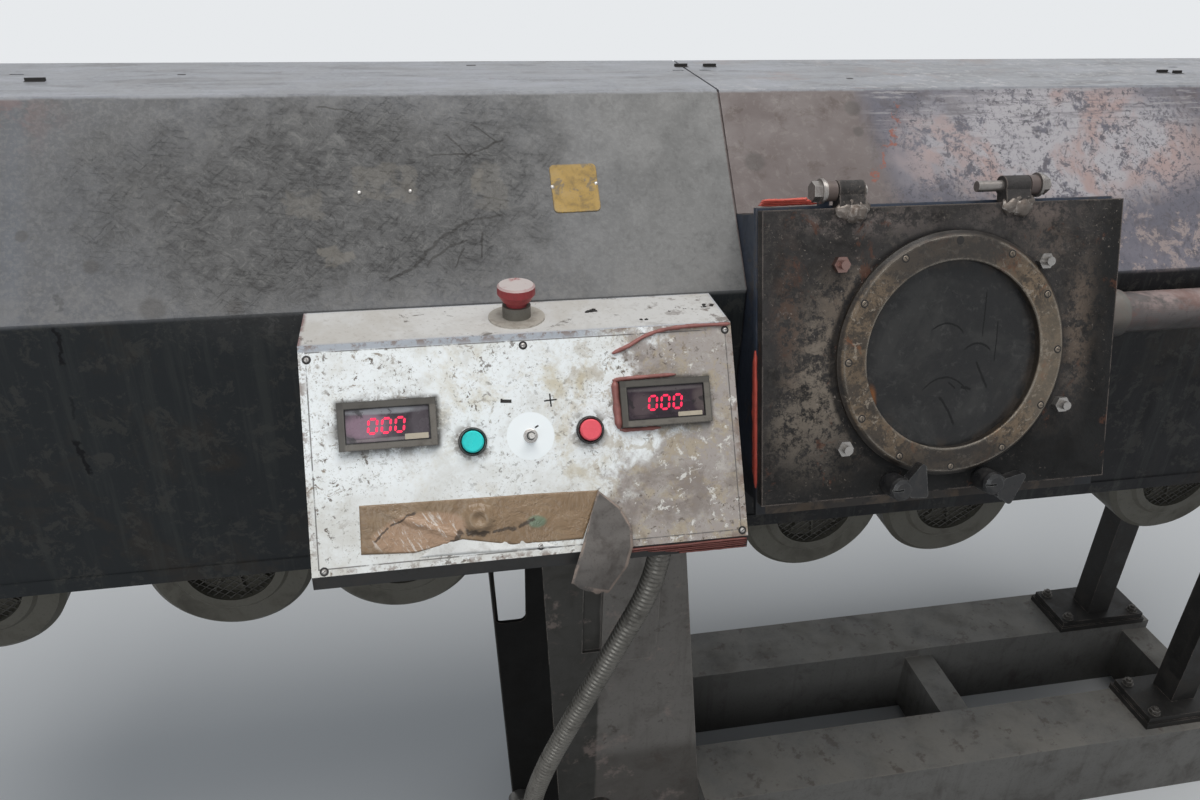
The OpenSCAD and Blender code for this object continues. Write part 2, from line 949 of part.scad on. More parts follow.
module speed_shaft() {
    color([0.75, 0.75, 0.75])
        on_plate(shaft_at[0], shaft_at[1])
            translate([0, -shaft_proud, 0])
                difference() {
                    rod_y(shaft_d, shaft_proud + shaft_deep - plunger_gap);
                    translate([-shaft_d / 2, -cut, shaft_d / 5])
                        cube([shaft_d, shaft_proud / 2, shaft_d]);
                }
}

module estop_collar() {
    color([0.55, 0.55, 0.52])
        translate([console_left + estop_x, console_rear_y - estop_back, console_top_z])
            difference() {
                union() {
                    cylinder(d = estop_disc_d, h = estop_disc_t);
                    cylinder(d = estop_collar_d, h = estop_collar_h);
                }
                translate([0, 0, -cut])
                    cylinder(d = estop_stem_d + 2 * slide_gap, h = estop_collar_h + 2 * cut);
            }
}

module estop_head() {
    color([0.6, 0.08, 0.08])
        translate([console_left + estop_x, console_rear_y - estop_back, console_top_z])
            rotate_extrude()
                polygon([
                    [0, -estop_deep + estop_travel + plunger_gap],
                    [estop_stem_d / 2, -estop_deep + estop_travel + plunger_gap],
                    [estop_stem_d / 2, estop_skirt_z], [estop_collar_d / 2, estop_skirt_z],
                    [estop_d / 2, estop_rim_z], [estop_d / 2, estop_top_z - 2],
                    [estop_d / 2 - 2, estop_top_z], [0, estop_top_z]
                ]);
}

module conduit_glands() {
    color([0.5, 0.5, 0.48]) {
        translate([conduit_route[0][0], conduit_route[0][1], console_low_z - gland_h])
            difference() {
                cylinder(d = gland_d, h = gland_h);
                translate([0, 0, -cut])
                    cylinder(d = conduit_d + 2 * gland_gap, h = gland_h - gland_floor + cut);
            }
        translate([conduit_end[0], -pedestal_d / 2 - gland_h, conduit_end[2]])
            difference() {
                rod_y(gland_d, gland_h);
                translate([0, -cut, 0])
                    rod_y(conduit_d + 2 * gland_gap, gland_h - gland_floor + cut);
            }
    }
}

// A point of the conduit's smooth path, between the route's points i and i + 1
function path_point(i, t) =
    let (
        a = conduit_route[max(i - 1, 0)], b = conduit_route[i],
        c = conduit_route[i + 1], d = conduit_route[i + 2]
    )
    0.5 * (2 * b + (c - a) * t + (2 * a - 5 * b + 4 * c - d) * t * t + (3 * b - a - 3 * c + d) * t * t * t);

// The corrugated conduit's plain tube, swept along its route
module conduit() {
    steps = 4;
    path = concat(
        [for (i = [0 : len(conduit_route) - 3], k = [0 : steps - 1]) path_point(i, k / steps)],
        [for (a = [0 : 10 : 90]) [
            conduit_end[0],
            conduit_bend_y - conduit_bend_r * cos(a),
            conduit_end[2] + conduit_bend_r * (1 - sin(a))
        ]],
        [conduit_end]
    );
    n = len(path);
    sides = 10;
    ring = [for (i = [0 : n - 1])
        let (
            along = i == 0 ? [0, 0, -1] : i == n - 1 ? [0, 1, 0] : path[i + 1] - path[i - 1],
            t = along / norm(along),
            u0 = cross([1, 0, 0], t),
            u = u0 / norm(u0),
            v = cross(t, u)
        )
        for (k = [0 : sides - 1])
            path[i] + conduit_d / 2 * (cos(360 * k / sides) * u + sin(360 * k / sides) * v)];
    sides_faces = [for (i = [0 : n - 2], k = [0 : sides - 1])
        [i * sides + k, i * sides + (k + 1) % sides, (i + 1) * sides + (k + 1) % sides, (i + 1) * sides + k]];
    color([0.45, 0.44, 0.42])
        polyhedron(ring, concat([[for (k = [sides - 1 : -1 : 0]) k]], sides_faces,
            [[for (k = [0 : sides - 1]) (n - 1) * sides + k]]), 4);
}

// The vent box's walls as one block, grown by a clearance, cut off at its rear wall
module vent_box_body(grow) {
    intersection() {
        on_hatch(box_side - grow, door_h + box_low + grow)
            translate([0, door_t + door_gap + box_flange_t / 2, 0])
                cube([box_w + 2 * grow, box_reach, door_h + box_low - box_high + 2 * grow]);
        translate([-box_w, box_rear_y - box_reach * 2, 0])
            cube([4 * box_w, box_reach * 2 + grow, 2 * guard_top_z]);
    }
}

module vent_box() {
    color([0.2, 0.21, 0.26])
        difference() {
            union() {
                vent_box_body(0);
                on_hatch(0, door_h + flange_low)
                    translate([0, door_t + door_gap, 0])
                        cube([door_w, box_flange_t, door_h + flange_low + flange_high]);
                for (x = ear_x)
                    on_hatch(x, 0)
                        hinge_ear();
            }
            intersection() {
                on_hatch(box_side + box_t, door_h + box_low - box_t)
                    cube([box_w - 2 * box_t, box_reach + box_t * 4, door_h + box_low - box_high - 2 * box_t]);
                translate([-box_w, box_rear_y - box_reach * 2 - box_t, 0])
                    cube([4 * box_w, box_reach * 2, 2 * guard_top_z]);
            }
            translate([vent_x - port_w / 2, box_rear_y - 2 * box_t, axis_z - throat_h / 2])
                cube([port_w, 3 * box_t, throat_h]);
            translate([box_right - 2 * box_t, pipe_y, pipe_z])
                rod_x(pipe_d - 2 * pipe_t, 3 * box_t);
            for (x = ear_x)
                on_hatch(x - cut, 0)
                    translate([0, pin_y, pin_z])
                        rod_x(pin_d + 2 * pin_gap, ear_w + 2 * cut);
        }
}

// A fixed ear on the box's flange that holds a hinge pin
module hinge_ear() {
    translate([0, pin_y, pin_z])
        rod_x(lug_d, ear_w);
    translate([0, pin_y, pin_z - lug_d / 2 + 2])
        cube([ear_w, door_t + door_gap + box_flange_t - pin_y, lug_d - 4]);
    translate([0, door_t + door_gap, 0])
        cube([ear_w, box_flange_t, pin_z + lug_d / 2 - 2]);
}

module vent_throat() {
    color([0.38, 0.37, 0.36])
        difference() {
            translate([vent_x - port_w / 2 - throat_t, box_rear_y, axis_z - throat_h / 2 - throat_t])
                cube([port_w + 2 * throat_t, -box_rear_y - barrel_d / 4, throat_h + 2 * throat_t]);
            translate([vent_x - port_w / 2, box_rear_y - cut, axis_z - throat_h / 2])
                cube([port_w, -box_rear_y, throat_h]);
            barrel_clearance();
        }
}

module hatch_door() {
    color([0.22, 0.2, 0.19])
        difference() {
            union() {
                on_hatch(0, door_h)
                    cube([door_w, door_t, door_h]);
                for (x = lug_x)
                    on_hatch(x, 0)
                        door_lug();
                for (p = [left_knob_at, right_knob_at])
                    on_hatch(p[0], p[1])
                        translate([0, -knob_stud_l, 0])
                            rod_y(knob_stud_d, knob_stud_l + cut);
            }
            on_hatch(ring_at[0], ring_at[1])
                translate([0, -cut, 0])
                    rod_y(glass_seat_d, glass_back + cut);
            on_hatch(ring_at[0], ring_at[1])
                rod_y(glass_d, door_t + cut);
            for (x = lug_x)
                on_hatch(x - cut, 0)
                    translate([0, pin_y, pin_z])
                        rod_x(pin_d + 2 * pin_gap, lug_w + 2 * cut);
        }
}

// A lug on the door's upper edge: an eye for the pin, with a slanted foot on the door's front
module door_lug() {
    translate([0, pin_y, pin_z])
        rod_x(lug_d, lug_w);
    along_x(0, lug_w)
        polygon([
            [door_t, -cut], [door_t, pin_z], [pin_y - lug_d * 0.35, pin_z + lug_d * 0.35],
            [lug_foot[0], lug_foot[1]], [lug_foot[0], -lug_foot[1]], [cut, -lug_foot[1]]
        ]);
}

module sight_ring() {
    color([0.4, 0.36, 0.3])
        on_hatch(ring_at[0], ring_at[1])
            translate([0, -ring_t, 0])
                turned_y([
                    [glass_d / 2, 1], [glass_d / 2 + 1, 0], [ring_d / 2 - ring_bevel, 0],
                    [ring_d / 2, ring_bevel], [ring_d / 2, ring_t], [glass_d / 2, ring_t]
                ]);
}

module sight_glass() {
    color([0.2, 0.2, 0.2])
        on_hatch(ring_at[0], ring_at[1])
            translate([0, seat, 0])
                rod_y(glass_seat_d - 2 * seat, glass_back - 2 * seat);
}

// The studs with their nuts that clamp the door's sheet
module hatch_studs() {
    color([0.5, 0.48, 0.46])
        for (p = stud_at)
            on_hatch(p[0], p[1]) {
                translate([0, -nut_h, 0])
                    rotate([-90, 0, 0])
                        cylinder(d = nut_d, h = nut_h, $fn = 6);
                translate([0, -stud_l, 0])
                    rod_y(stud_d, stud_l);
            }
}

// The two hinge pins: the left one with head and washers outside its ear, the right one
// with a bare stub inside its lug and washer and nut outside its ear
module hinge_pins() {
    left_stack = 2 * washer_t + head_h;
    right_end = ear_x[1] + ear_w;
    color([0.6, 0.58, 0.56]) {
        on_hatch(ear_x[0] - left_stack, 0)
            translate([0, pin_y, pin_z])
                union() {
                    rod_x(pin_d, left_stack + lug_x[0] + lug_w - ear_x[0] + pin_out);
                    rotate([0, 90, 0])
                        cylinder(d = head_d, h = head_h, $fn = 6);
                    translate([head_h, 0, 0])
                        rod_x(washer_d, washer_t);
                    translate([head_h + washer_t, 0, 0])
                        rod_x(washer_d - 4, washer_t - seat);
                }
        on_hatch(lug_x[1] - stub_l, 0)
            translate([0, pin_y, pin_z])
                rod_x(pin_d, right_end - lug_x[1] + stub_l + washer_t + head_h + pin_out);
        on_hatch(right_end + seat, 0)
            translate([0, pin_y, pin_z])
                union() {
                    rod_x(washer_d, washer_t);
                    translate([washer_t - seat, 0, 0])
                        rotate([0, 90, 0])
                            cylinder(d = head_d, h = head_h, $fn = 6);
                }
    }
}

// A wing knob: a round hub that turns on its stud, with a slot in its face and one wing beside it
module wing_knob(p, turn) {
    r = knob_d / 2;
    color([0.08, 0.08, 0.08])
        on_hatch(p[0], p[1])
            difference() {
                union() {
                    translate([0, -knob_h, 0])
                        turned_y([
                            [0, 0], [r * 0.6, 0], [r * 0.88, 2], [r, 6], [r, knob_h - 6],
                            [r * 0.85, knob_h - knob_gap], [0, knob_h - knob_gap]
                        ]);
                    along_y(-knob_h + wing_set_back, wing_t)
                        rotate(turn)
                            wing_outline();
                }
                translate([0, -knob_stud_l - knob_gap, 0])
                    rod_y(knob_stud_d + 2 * pin_gap, knob_stud_l + knob_gap + cut);
                translate([-r, -knob_h - cut, -1])
                    cube([r, 3 + cut, 2]);
            }
}

// The wing's outline beside the hub, with round corners
module wing_outline() {
    hull()
        for (q = wing_corners)
            translate(q)
                circle(wing_round);
}

module left_knob() {
    wing_knob(left_knob_at, 0);
}

module right_knob() {
    wing_knob(right_knob_at, right_knob_turn);
}

module vacuum_pipe() {
    color([0.5, 0.45, 0.46])
        translate([box_right, pipe_y, pipe_z])
            difference() {
                union() {
                    rod_x(pipe_d, pipe_end - box_right);
                    rod_x(collar_d, collar_l);
                }
                translate([-cut, 0, 0])
                    rod_x(pipe_d - 2 * pipe_t, pipe_end - box_right + 2 * cut);
            }
}

base_frame();
pedestal();
cable_column();
leg_front();
leg_rear();
mid_saddle();
end_saddle();
barrel();
screw();
feed_flange();
die_flange();
jacket_1();
jacket_2();
jacket_3();
jacket_4();
jacket_5();
jacket_6();
blower_1();
blower_2();
blower_3();
blower_4();
blower_5();
blower_6();
guard_left();
guard_right();
guard_end_left();
guard_end_right();
guard_rib();
console_case();
console_plate();
panel_meters();
button_bezels();
green_button();
red_button();
speed_shaft();
estop_collar();
estop_head();
conduit();
conduit_glands();
vent_box();
vent_throat();
hatch_door();
sight_ring();
sight_glass();
hatch_studs();
hinge_pins();
left_knob();
right_knob();
vacuum_pipe();
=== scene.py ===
import math
import random

import bmesh
import bpy
from mathutils import Matrix, Vector
from mathutils import noise as wave


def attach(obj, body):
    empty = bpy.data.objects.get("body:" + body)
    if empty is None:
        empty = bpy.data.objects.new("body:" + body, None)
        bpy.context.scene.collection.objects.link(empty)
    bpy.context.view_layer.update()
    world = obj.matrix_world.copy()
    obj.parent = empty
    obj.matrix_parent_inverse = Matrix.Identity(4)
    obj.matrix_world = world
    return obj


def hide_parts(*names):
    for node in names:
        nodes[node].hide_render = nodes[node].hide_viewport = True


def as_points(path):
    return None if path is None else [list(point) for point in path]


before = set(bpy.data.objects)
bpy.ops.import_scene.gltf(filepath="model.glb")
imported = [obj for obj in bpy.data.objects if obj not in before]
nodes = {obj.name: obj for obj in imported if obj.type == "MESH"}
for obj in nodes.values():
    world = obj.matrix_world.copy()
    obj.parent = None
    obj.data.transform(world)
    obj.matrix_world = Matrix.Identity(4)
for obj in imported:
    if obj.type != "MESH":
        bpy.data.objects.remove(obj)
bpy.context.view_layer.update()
scene = bpy.context.scene
rng = random.Random(7)


# Camera, fitted to the photograph: its place in metres, its sensor and lens in millimetres
CAMERA_AT = Vector((-0.3668, -1.2305, 1.5469))
CAMERA_RIGHT = Vector((0.98165, -0.1889, 0.02618))
CAMERA_DOWN = Vector((-0.06855, -0.47758, -0.87591))
SENSOR_WIDTH = 36.0
LENS = 28.217


def add_camera():
    cam = bpy.data.objects.new("camera", bpy.data.cameras.new("camera"))
    bpy.context.collection.objects.link(cam)
    cam.data.sensor_width = SENSOR_WIDTH
    cam.data.lens = LENS
    back = -CAMERA_RIGHT.cross(CAMERA_DOWN)
    turned = Matrix((CAMERA_RIGHT, -CAMERA_DOWN, back)).transposed().to_4x4()
    turned.translation = CAMERA_AT
    cam.matrix_world = turned
    scene.camera = cam


# Faces of the machine, to place things on in millimetres
class Face:
    """A face that leans back by some degrees: X to the right, Y up along it, Z straight out."""

    def __init__(self, origin, lean):
        s, c = math.sin(math.radians(lean)), math.cos(math.radians(lean))
        self.lean = lean
        self.frame = Matrix(((1, 0, 0), (0, s, -c), (0, c, s))).to_4x4()
        self.frame.translation = Vector(origin) / 1000

    def at(self, x, y, out=0.0):
        return self.frame @ Vector((x / 1000, y / 1000, out / 1000))

    def spot(self, x, y, out=0.0, turn=0.0):
        """A frame at a point of the face, its Z straight out; turn in degrees about it."""
        m = self.frame.copy()
        m.translation = self.at(x, y, out)
        return m @ Matrix.Rotation(math.radians(turn), 4, "Z")


HATCH = Face((-9, -318, 1249), 17.57)
PLATE = Face((-491, -356, 1140), 31.75)
CONSOLE_TOP = Face((-491, -356, 1140), 90)
CONSOLE_LIP = Face((-491, -475.5, 947), 0)
SLOPE = Face((0, -275, 1142), 41.83)
HOOD_SIDE = Face((0, -275, 1142), 0)
HOOD_TOP = Face((0, -105, 1332), 90)


# Shapes of the small pieces
def skin(rings, sides):
    """The faces of a closed tube whose points come ring by ring."""
    faces = [
        [i * sides + k, i * sides + (k + 1) % sides, (i + 1) * sides + (k + 1) % sides, (i + 1) * sides + k]
        for i in range(rings - 1)
        for k in range(sides)
    ]
    faces.append(list(range(sides))[::-1])
    faces.append([(rings - 1) * sides + k for k in range(sides)])
    return faces


def along(points, t):
    """The place a share t of the way along a list of points."""
    s = t * (len(points) - 1)
    i = min(int(s), len(points) - 2)
    return Vector(points[i]).lerp(Vector(points[i + 1]), s - i)


def curve_through(points, k=8):
    """A smooth line through points in metres, k steps between each two."""
    pts = [Vector(p) for p in points]
    out = []
    for i in range(len(pts) - 1):
        a, b, c, d = pts[max(i - 1, 0)], pts[i], pts[i + 1], pts[min(i + 2, len(pts) - 1)]
        for j in range(k):
            t = j / k
            bend = (2 * a - 5 * b + 4 * c - d) * t * t + (3 * b - a - 3 * c + d) * t ** 3
            out.append(0.5 * (2 * b + (c - a) * t + bend))
    return out + [pts[-1]]


def sheet(cols, rows, place):
    """A thin sheet; place(i, j, upper) gives the points of its two skins."""
    verts = [place(i, j, upper) for upper in (True, False) for j in range(rows + 1) for i in range(cols + 1)]
    w, n = cols + 1, (cols + 1) * (rows + 1)
    faces = []
    for j in range(rows):
        for i in range(cols):
            a = j * w + i
            faces.append([a, a + 1, a + w + 1, a + w])
            faces.append([n + a, n + a + w, n + a + w + 1, n + a + 1])
    rim = [j * w for j in range(rows)] + [rows * w + i for i in range(cols)]
    rim += [j * w + cols for j in range(rows, 0, -1)] + list(range(cols, 0, -1))
    faces += [[a, b, n + b, n + a] for a, b in zip(rim, rim[1:] + rim[:1])]
    return verts, faces


class Lump:
    """Collects several shapes into one piece."""

    def __init__(self):
        self.verts, self.faces = [], []

    def add(self, verts, faces):
        n = len(self.verts)
        self.verts += [Vector(v) for v in verts]
        self.faces += [[n + i for i in f] for f in faces]

    def lathe(self, m, profile, sides=24, turn=0.0):
        """A profile of (radius, height) in millimetres, turned about the Z axis of the frame m."""
        angles = [turn + 2 * math.pi * k / sides for k in range(sides)]
        verts = [
            m @ Vector((r * math.cos(a) / 1000, r * math.sin(a) / 1000, h / 1000))
            for r, h in profile
            for a in angles
        ]
        self.add(verts, skin(len(profile), sides))

    def box(self, m, lo, hi):
        """A block between two corners in millimetres, in the frame m."""
        xs, ys, zs = ((a / 1000, b / 1000) for a, b in zip(lo, hi))
        verts = [m @ Vector((x, y, z)) for x in xs for y in ys for z in zs]
        self.add(verts, [[0, 1, 3, 2], [4, 6, 7, 5], [0, 4, 5, 1], [2, 3, 7, 6], [0, 2, 6, 4], [1, 5, 7, 3]])

    def tube(self, points, radius, sides=10, lumpy=0.0, flat=1.0):
        """A closed tube through points in metres; radius is one number or one for each point."""
        pts = [Vector(p) for p in points]
        n = len(pts)
        radii = radius if isinstance(radius, list) else [radius] * n
        u = Vector((0.31, 0.27, 0.91)).cross((pts[1] - pts[0]).normalized()).normalized()
        verts = []
        for i, p in enumerate(pts):
            ahead = (pts[min(i + 1, n - 1)] - pts[max(i - 1, 0)]).normalized()
            u = (u - ahead * u.dot(ahead)).normalized()
            v = ahead.cross(u)
            for k in range(sides):
                a = 2 * math.pi * k / sides
                r = radii[i] * (1 + lumpy * rng.uniform(-1, 1))
                verts.append(p + u * (r * math.cos(a)) + v * (r * flat * math.sin(a)))
        self.add(verts, skin(n, sides))

    def bead(self, pts, radius, flat, lumpy=0.12, step=2.0):
        """A smeared bead of sealant through points in metres; radius and step in millimetres."""
        line = curve_through(pts, max(3, int((pts[1] - pts[0]).length * 1000 / step)))
        n = len(line)
        radii = []
        for i in range(n):
            end = 0.35 + 0.65 * min(1, min(i, n - 1 - i) / 3)
            radii.append(radius / 1000 * end * (1 + 0.25 * wave.noise((i * 0.35, radius, 0))))
        self.tube(line, radii, 10, lumpy, flat)

    def blob(self, face, x, y, out, radii, rough, detail):
        """A rough lump on a face, for weld metal and crumbs; all in millimetres."""
        bm = bmesh.new()
        bmesh.ops.create_icosphere(bm, subdivisions=detail, radius=1)
        turned = face.frame.to_3x3()
        seed = Vector((rng.uniform(0, 9), rng.uniform(0, 9), rng.uniform(0, 9)))
        verts = []
        for v in bm.verts:
            d = 1 + rough * wave.noise(v.co * 1.6 + seed) * 1.6 + rough * 0.7 * wave.noise(v.co * 4.5 + seed)
            offset = Vector([v.co[i] * d * radii[i] / 1000 for i in range(3)])
            verts.append(face.at(x, y, out) + turned @ offset)
        self.add(verts, [[v.index for v in f.verts] for f in bm.faces])
        bm.free()

    def done(self, name, mat, body, smooth=False):
        mesh = bpy.data.meshes.new(name)
        mesh.from_pydata([tuple(v) for v in self.verts], [], self.faces)
        mesh.validate()
        bm = bmesh.new()
        bm.from_mesh(mesh)
        bmesh.ops.recalc_face_normals(bm, faces=bm.faces)
        bm.to_mesh(mesh)
        bm.free()
        mesh.polygons.foreach_set("use_smooth", [smooth] * len(mesh.polygons))
        mesh.materials.append(mat)
        o = bpy.data.objects.new(name, mesh)
        bpy.context.collection.objects.link(o)
        if body:
            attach(o, body)
        return o


# Finishes
class Paint:
    """A procedural finish. Its noises are placed by the part's own metres."""

    def __init__(self, name, metallic=0.0, roughness=0.6):
        self.mat = bpy.data.materials.new(name)
        self.mat.use_nodes = True
        self.tree = self.mat.node_tree
        self.bsdf = self.tree.nodes["Principled BSDF"]
        self.at = self.node("ShaderNodeTexCoord").outputs["Object"]
        xyz = self.node("ShaderNodeSeparateXYZ")
        self.put(xyz.inputs[0], self.at)
        self.x, self.y, self.z = xyz.outputs
        self.colour = None
        self.rough = roughness
        self.height = None
        self.noises = {}
        self.put(self.bsdf.inputs["Metallic"], metallic)

    def node(self, kind, **props):
        n = self.tree.nodes.new(kind)
        for k, v in props.items():
            setattr(n, k, v)
        return n

    def put(self, socket, value):
        if isinstance(value, bpy.types.NodeSocket):
            self.tree.links.new(value, socket)
        elif isinstance(value, (tuple, list)) and socket.type == "RGBA":
            socket.default_value = (*value, 1) if len(value) == 3 else value
        else:
            socket.default_value = value

    def calc(self, op, a, b=0.5):
        n = self.node("ShaderNodeMath", operation=op)
        self.put(n.inputs[0], a)
        self.put(n.inputs[1], b)
        return n.outputs[0]

    def add(self, a, b):
        return self.calc("ADD", a, b)

    def mul(self, *values):
        out = values[0]
        for v in values[1:]:
            out = self.calc("MULTIPLY", out, v)
        return out

    def most(self, *values):
        out = values[0]
        for v in values[1:]:
            out = self.calc("MAXIMUM", out, v)
        return out

    def ramp(self, value, lo, hi, a=0.0, b=1.0):
        """Goes softly from a to b where the value goes from lo to hi."""
        n = self.node("ShaderNodeMapRange", interpolation_type="SMOOTHSTEP")
        for s, v in zip(n.inputs[:5], (value, lo, hi, a, b)):
            self.put(s, v)
        return n.outputs[0]

    def within(self, value, lo, hi, soft=0.002):
        return self.mul(self.ramp(value, lo - soft, lo + soft), self.ramp(value, hi + soft, hi - soft))

    def place(self, at=(0, 0, 0), size=(1, 1, 1), lean=0.0, turn=0.0):
        """Coordinates in a local frame: centre at, half sizes size, leaning back by lean degrees."""
        m = Matrix.Rotation(math.radians(-lean), 3, "X") @ Matrix.Rotation(math.radians(turn), 3, "Y")
        n = self.node("ShaderNodeMapping", vector_type="TEXTURE")
        self.put(n.inputs["Vector"], self.at)
        n.inputs["Location"].default_value = at
        n.inputs["Rotation"].default_value = m.to_euler()
        n.inputs["Scale"].default_value = size
        return n.outputs[0]

    def local(self, face, x=0, y=0, turn=0.0):
        """X, depth and height in metres, measured from a point of a face."""
        xyz = self.node("ShaderNodeSeparateXYZ")
        self.put(xyz.inputs[0], self.place(face.at(x, y), lean=face.lean, turn=turn))
        return xyz.outputs

    def noise(self, scale, detail=4.0, rough=0.58, warp=0.0, at=None):
        """A noise of the object's place; one that is asked for again is used again."""
        kind = (scale, detail, rough, warp, at)
        if kind not in self.noises:
            n = self.node("ShaderNodeTexNoise")
            self.put(n.inputs["Vector"], at or self.at)
            n.inputs["Scale"].default_value = scale
            n.inputs["Detail"].default_value = detail
            n.inputs["Roughness"].default_value = rough
            n.inputs["Distortion"].default_value = warp
            self.noises[kind] = n.outputs["Fac"]
        return self.noises[kind]

    def shake(self, noise, size):
        """A noise turned into a shift that goes both ways."""
        return self.mul(self.calc("SUBTRACT", noise, 0.5), size)

    def rag(self, scale, lo, hi, detail=5.0, rough=0.72, warp=0.4, at=None):
        """Ragged patches: 1 where the noise is over hi, 0 where it is under lo."""
        return self.ramp(self.noise(scale, detail, rough, warp, at), lo, hi)

    def lay(self, colour, *share):
        """Lays a colour over what is there, as strongly as the product of the shares."""
        n = self.node("ShaderNodeMix", data_type="RGBA")
        self.put(n.inputs[0], self.mul(*share))
        self.put(n.inputs[6], self.colour)
        self.put(n.inputs[7], colour)
        self.colour = n.outputs[2]

    def blot(self, face, x, y, w, h, soft=0.35, wobble=0.35, scale=14.0, deep=50, out=0, turn=0.0):
        """1 inside an ellipse on a face, 0 outside it, with a ragged edge; sizes in millimetres."""
        n = self.node("ShaderNodeVectorMath", operation="LENGTH")
        size = (w / 1000, deep / 1000, h / 1000)
        self.put(n.inputs[0], self.place(face.at(x, y, out), size, face.lean, turn))
        far = self.add(n.outputs["Value"], self.shake(self.noise(scale, 5), wobble * 2))
        return self.ramp(far, 1 + soft, 1 - soft)

    def patch(self, face, x0, x1, y0, y1, soft=1.5, shaken=0.0):
        """1 inside a rectangle of a face; shaken makes its edges uneven; all in millimetres."""
        x, _, z = self.local(face, (x0 + x1) / 2, (y0 + y1) / 2)
        if shaken:
            move = self.shake(self.noise(45, 5), shaken / 250)
            x, z = self.add(x, move), self.calc("SUBTRACT", z, move)
        w, h = (x1 - x0) / 2000, (y1 - y0) / 2000
        return self.mul(self.within(x, -w, w, soft / 1000), self.within(z, -h, h, soft / 1000))

    def stroke(self, face, a, b, half, bend=0.0, ragged=0.3):
        """1 along a line between two points of a face; half is its half width; all in millimetres."""
        dx, dy = b[0] - a[0], b[1] - a[1]
        long = math.hypot(dx, dy) / 2000
        turn = -math.degrees(math.atan2(dy, dx))
        x, _, z = self.local(face, (a[0] + b[0]) / 2, (a[1] + b[1]) / 2, turn)
        shaken = self.add(z, self.shake(self.noise(60, 3), ragged * half / 125))
        off = self.calc("ABSOLUTE", self.add(shaken, self.mul(x, x, bend / long)))
        ends = self.ramp(self.calc("ABSOLUTE", x), long * 1.02, long * 0.8)
        return self.mul(self.ramp(off, half / 1000, half / 2500), ends)

    def dotted(self, normal, with_normal):
        n = self.node("ShaderNodeVectorMath", operation="DOT_PRODUCT")
        self.put(n.inputs[0], normal)
        self.put(n.inputs[1], with_normal)
        return n.outputs["Value"]

    def edges(self, radius=0.003, lo=0.02, hi=0.12):
        """1 along the sharp edges of the piece."""
        bevel = self.node("ShaderNodeBevel", samples=4)
        bevel.inputs["Radius"].default_value = radius
        true = self.node("ShaderNodeNewGeometry").outputs["True Normal"]
        return self.ramp(self.calc("SUBTRACT", 1.0, self.dotted(bevel.outputs[0], true)), lo, hi)

    def facing(self, direction, lo=0.4, hi=0.7):
        """1 where the surface looks along a direction."""
        true = self.node("ShaderNodeNewGeometry").outputs["True Normal"]
        return self.ramp(self.dotted(true, direction), lo, hi)

    def bumps(self, height):
        self.height = height if self.height is None else self.add(self.height, height)

    def done(self, bump=0.0008, strength=0.6):
        self.put(self.bsdf.inputs["Base Color"], self.colour)
        self.put(self.bsdf.inputs["Roughness"], self.rough)
        if self.height is not None:
            n = self.node("ShaderNodeBump")
            n.inputs["Strength"].default_value = strength
            n.inputs["Distance"].default_value = bump
            self.put(n.inputs["Height"], self.height)
            self.put(self.bsdf.inputs["Normal"], n.outputs[0])
        return self.mat


def shade(colour, k):
    return tuple(max(0.0, min(1.0, v * k)) for v in colour)


def worn(name, base, dirt, amount, tone, speck, streak, metallic=0.0, rough=0.6, scale=1.0, shine=0.35):
    """The common ground of every old surface here: uneven tone, mottled dirt, runs and fine grit."""
    p = Paint(name, metallic)
    p.put(p.bsdf.inputs["Specular IOR Level"], shine)
    p.broad = p.noise(2.6 * scale, 3, 0.6)
    p.mottle = p.noise(19 * scale, 5, 0.66, 0.4)
    p.grit = p.noise(210 * scale, 2, 0.6)
    p.runs = p.noise(1, 4, 0.65, 0.0, p.place(size=(0.016 / scale, 0.016 / scale, 0.3 / scale)))
    p.colour = shade(base, 1 - tone)
    p.lay(shade(base, 1 + tone), p.ramp(p.broad, 0.3, 0.7))
    p.lay(dirt, p.ramp(p.mottle, 0.48, 0.72), amount)
    if streak:
        p.lay(dirt, p.ramp(p.runs, 0.5, 0.75), p.facing((0, 0, 1), 0.9, 0.6), streak)
    p.lay(dirt, p.ramp(p.grit, 0.56, 0.72), speck)
    p.rough = p.ramp(p.mottle, 0.35, 0.7, max(0.05, rough - 0.14), min(1.0, rough + 0.16))
    p.height = p.add(p.mul(p.mottle, 0.7), p.mul(p.grit, 0.25))
    return p


def plain(
    name, base, metallic, rough, dirt, amount=0.3, speck=0.2, streak=0.1,
    tone=0.12, wear=None, wear_r=0.002, scale=1.0, bump=0.0005, strength=0.5, shine=0.35,
):
    """A worn finish with no marks of its own; wear is the colour of its rubbed edges."""
    p = worn(name, base, dirt, amount, tone, speck, streak, metallic, rough, scale, shine)
    if wear:
        p.lay(wear, p.edges(wear_r, 0.03, 0.2), p.ramp(p.mottle, 0.4, 0.55), 0.8)
    return p.done(bump, strength)


def put_on(mat, *names):
    for name in names:
        o = nodes[name]
        o.data.materials.clear()
        o.data.materials.append(mat)


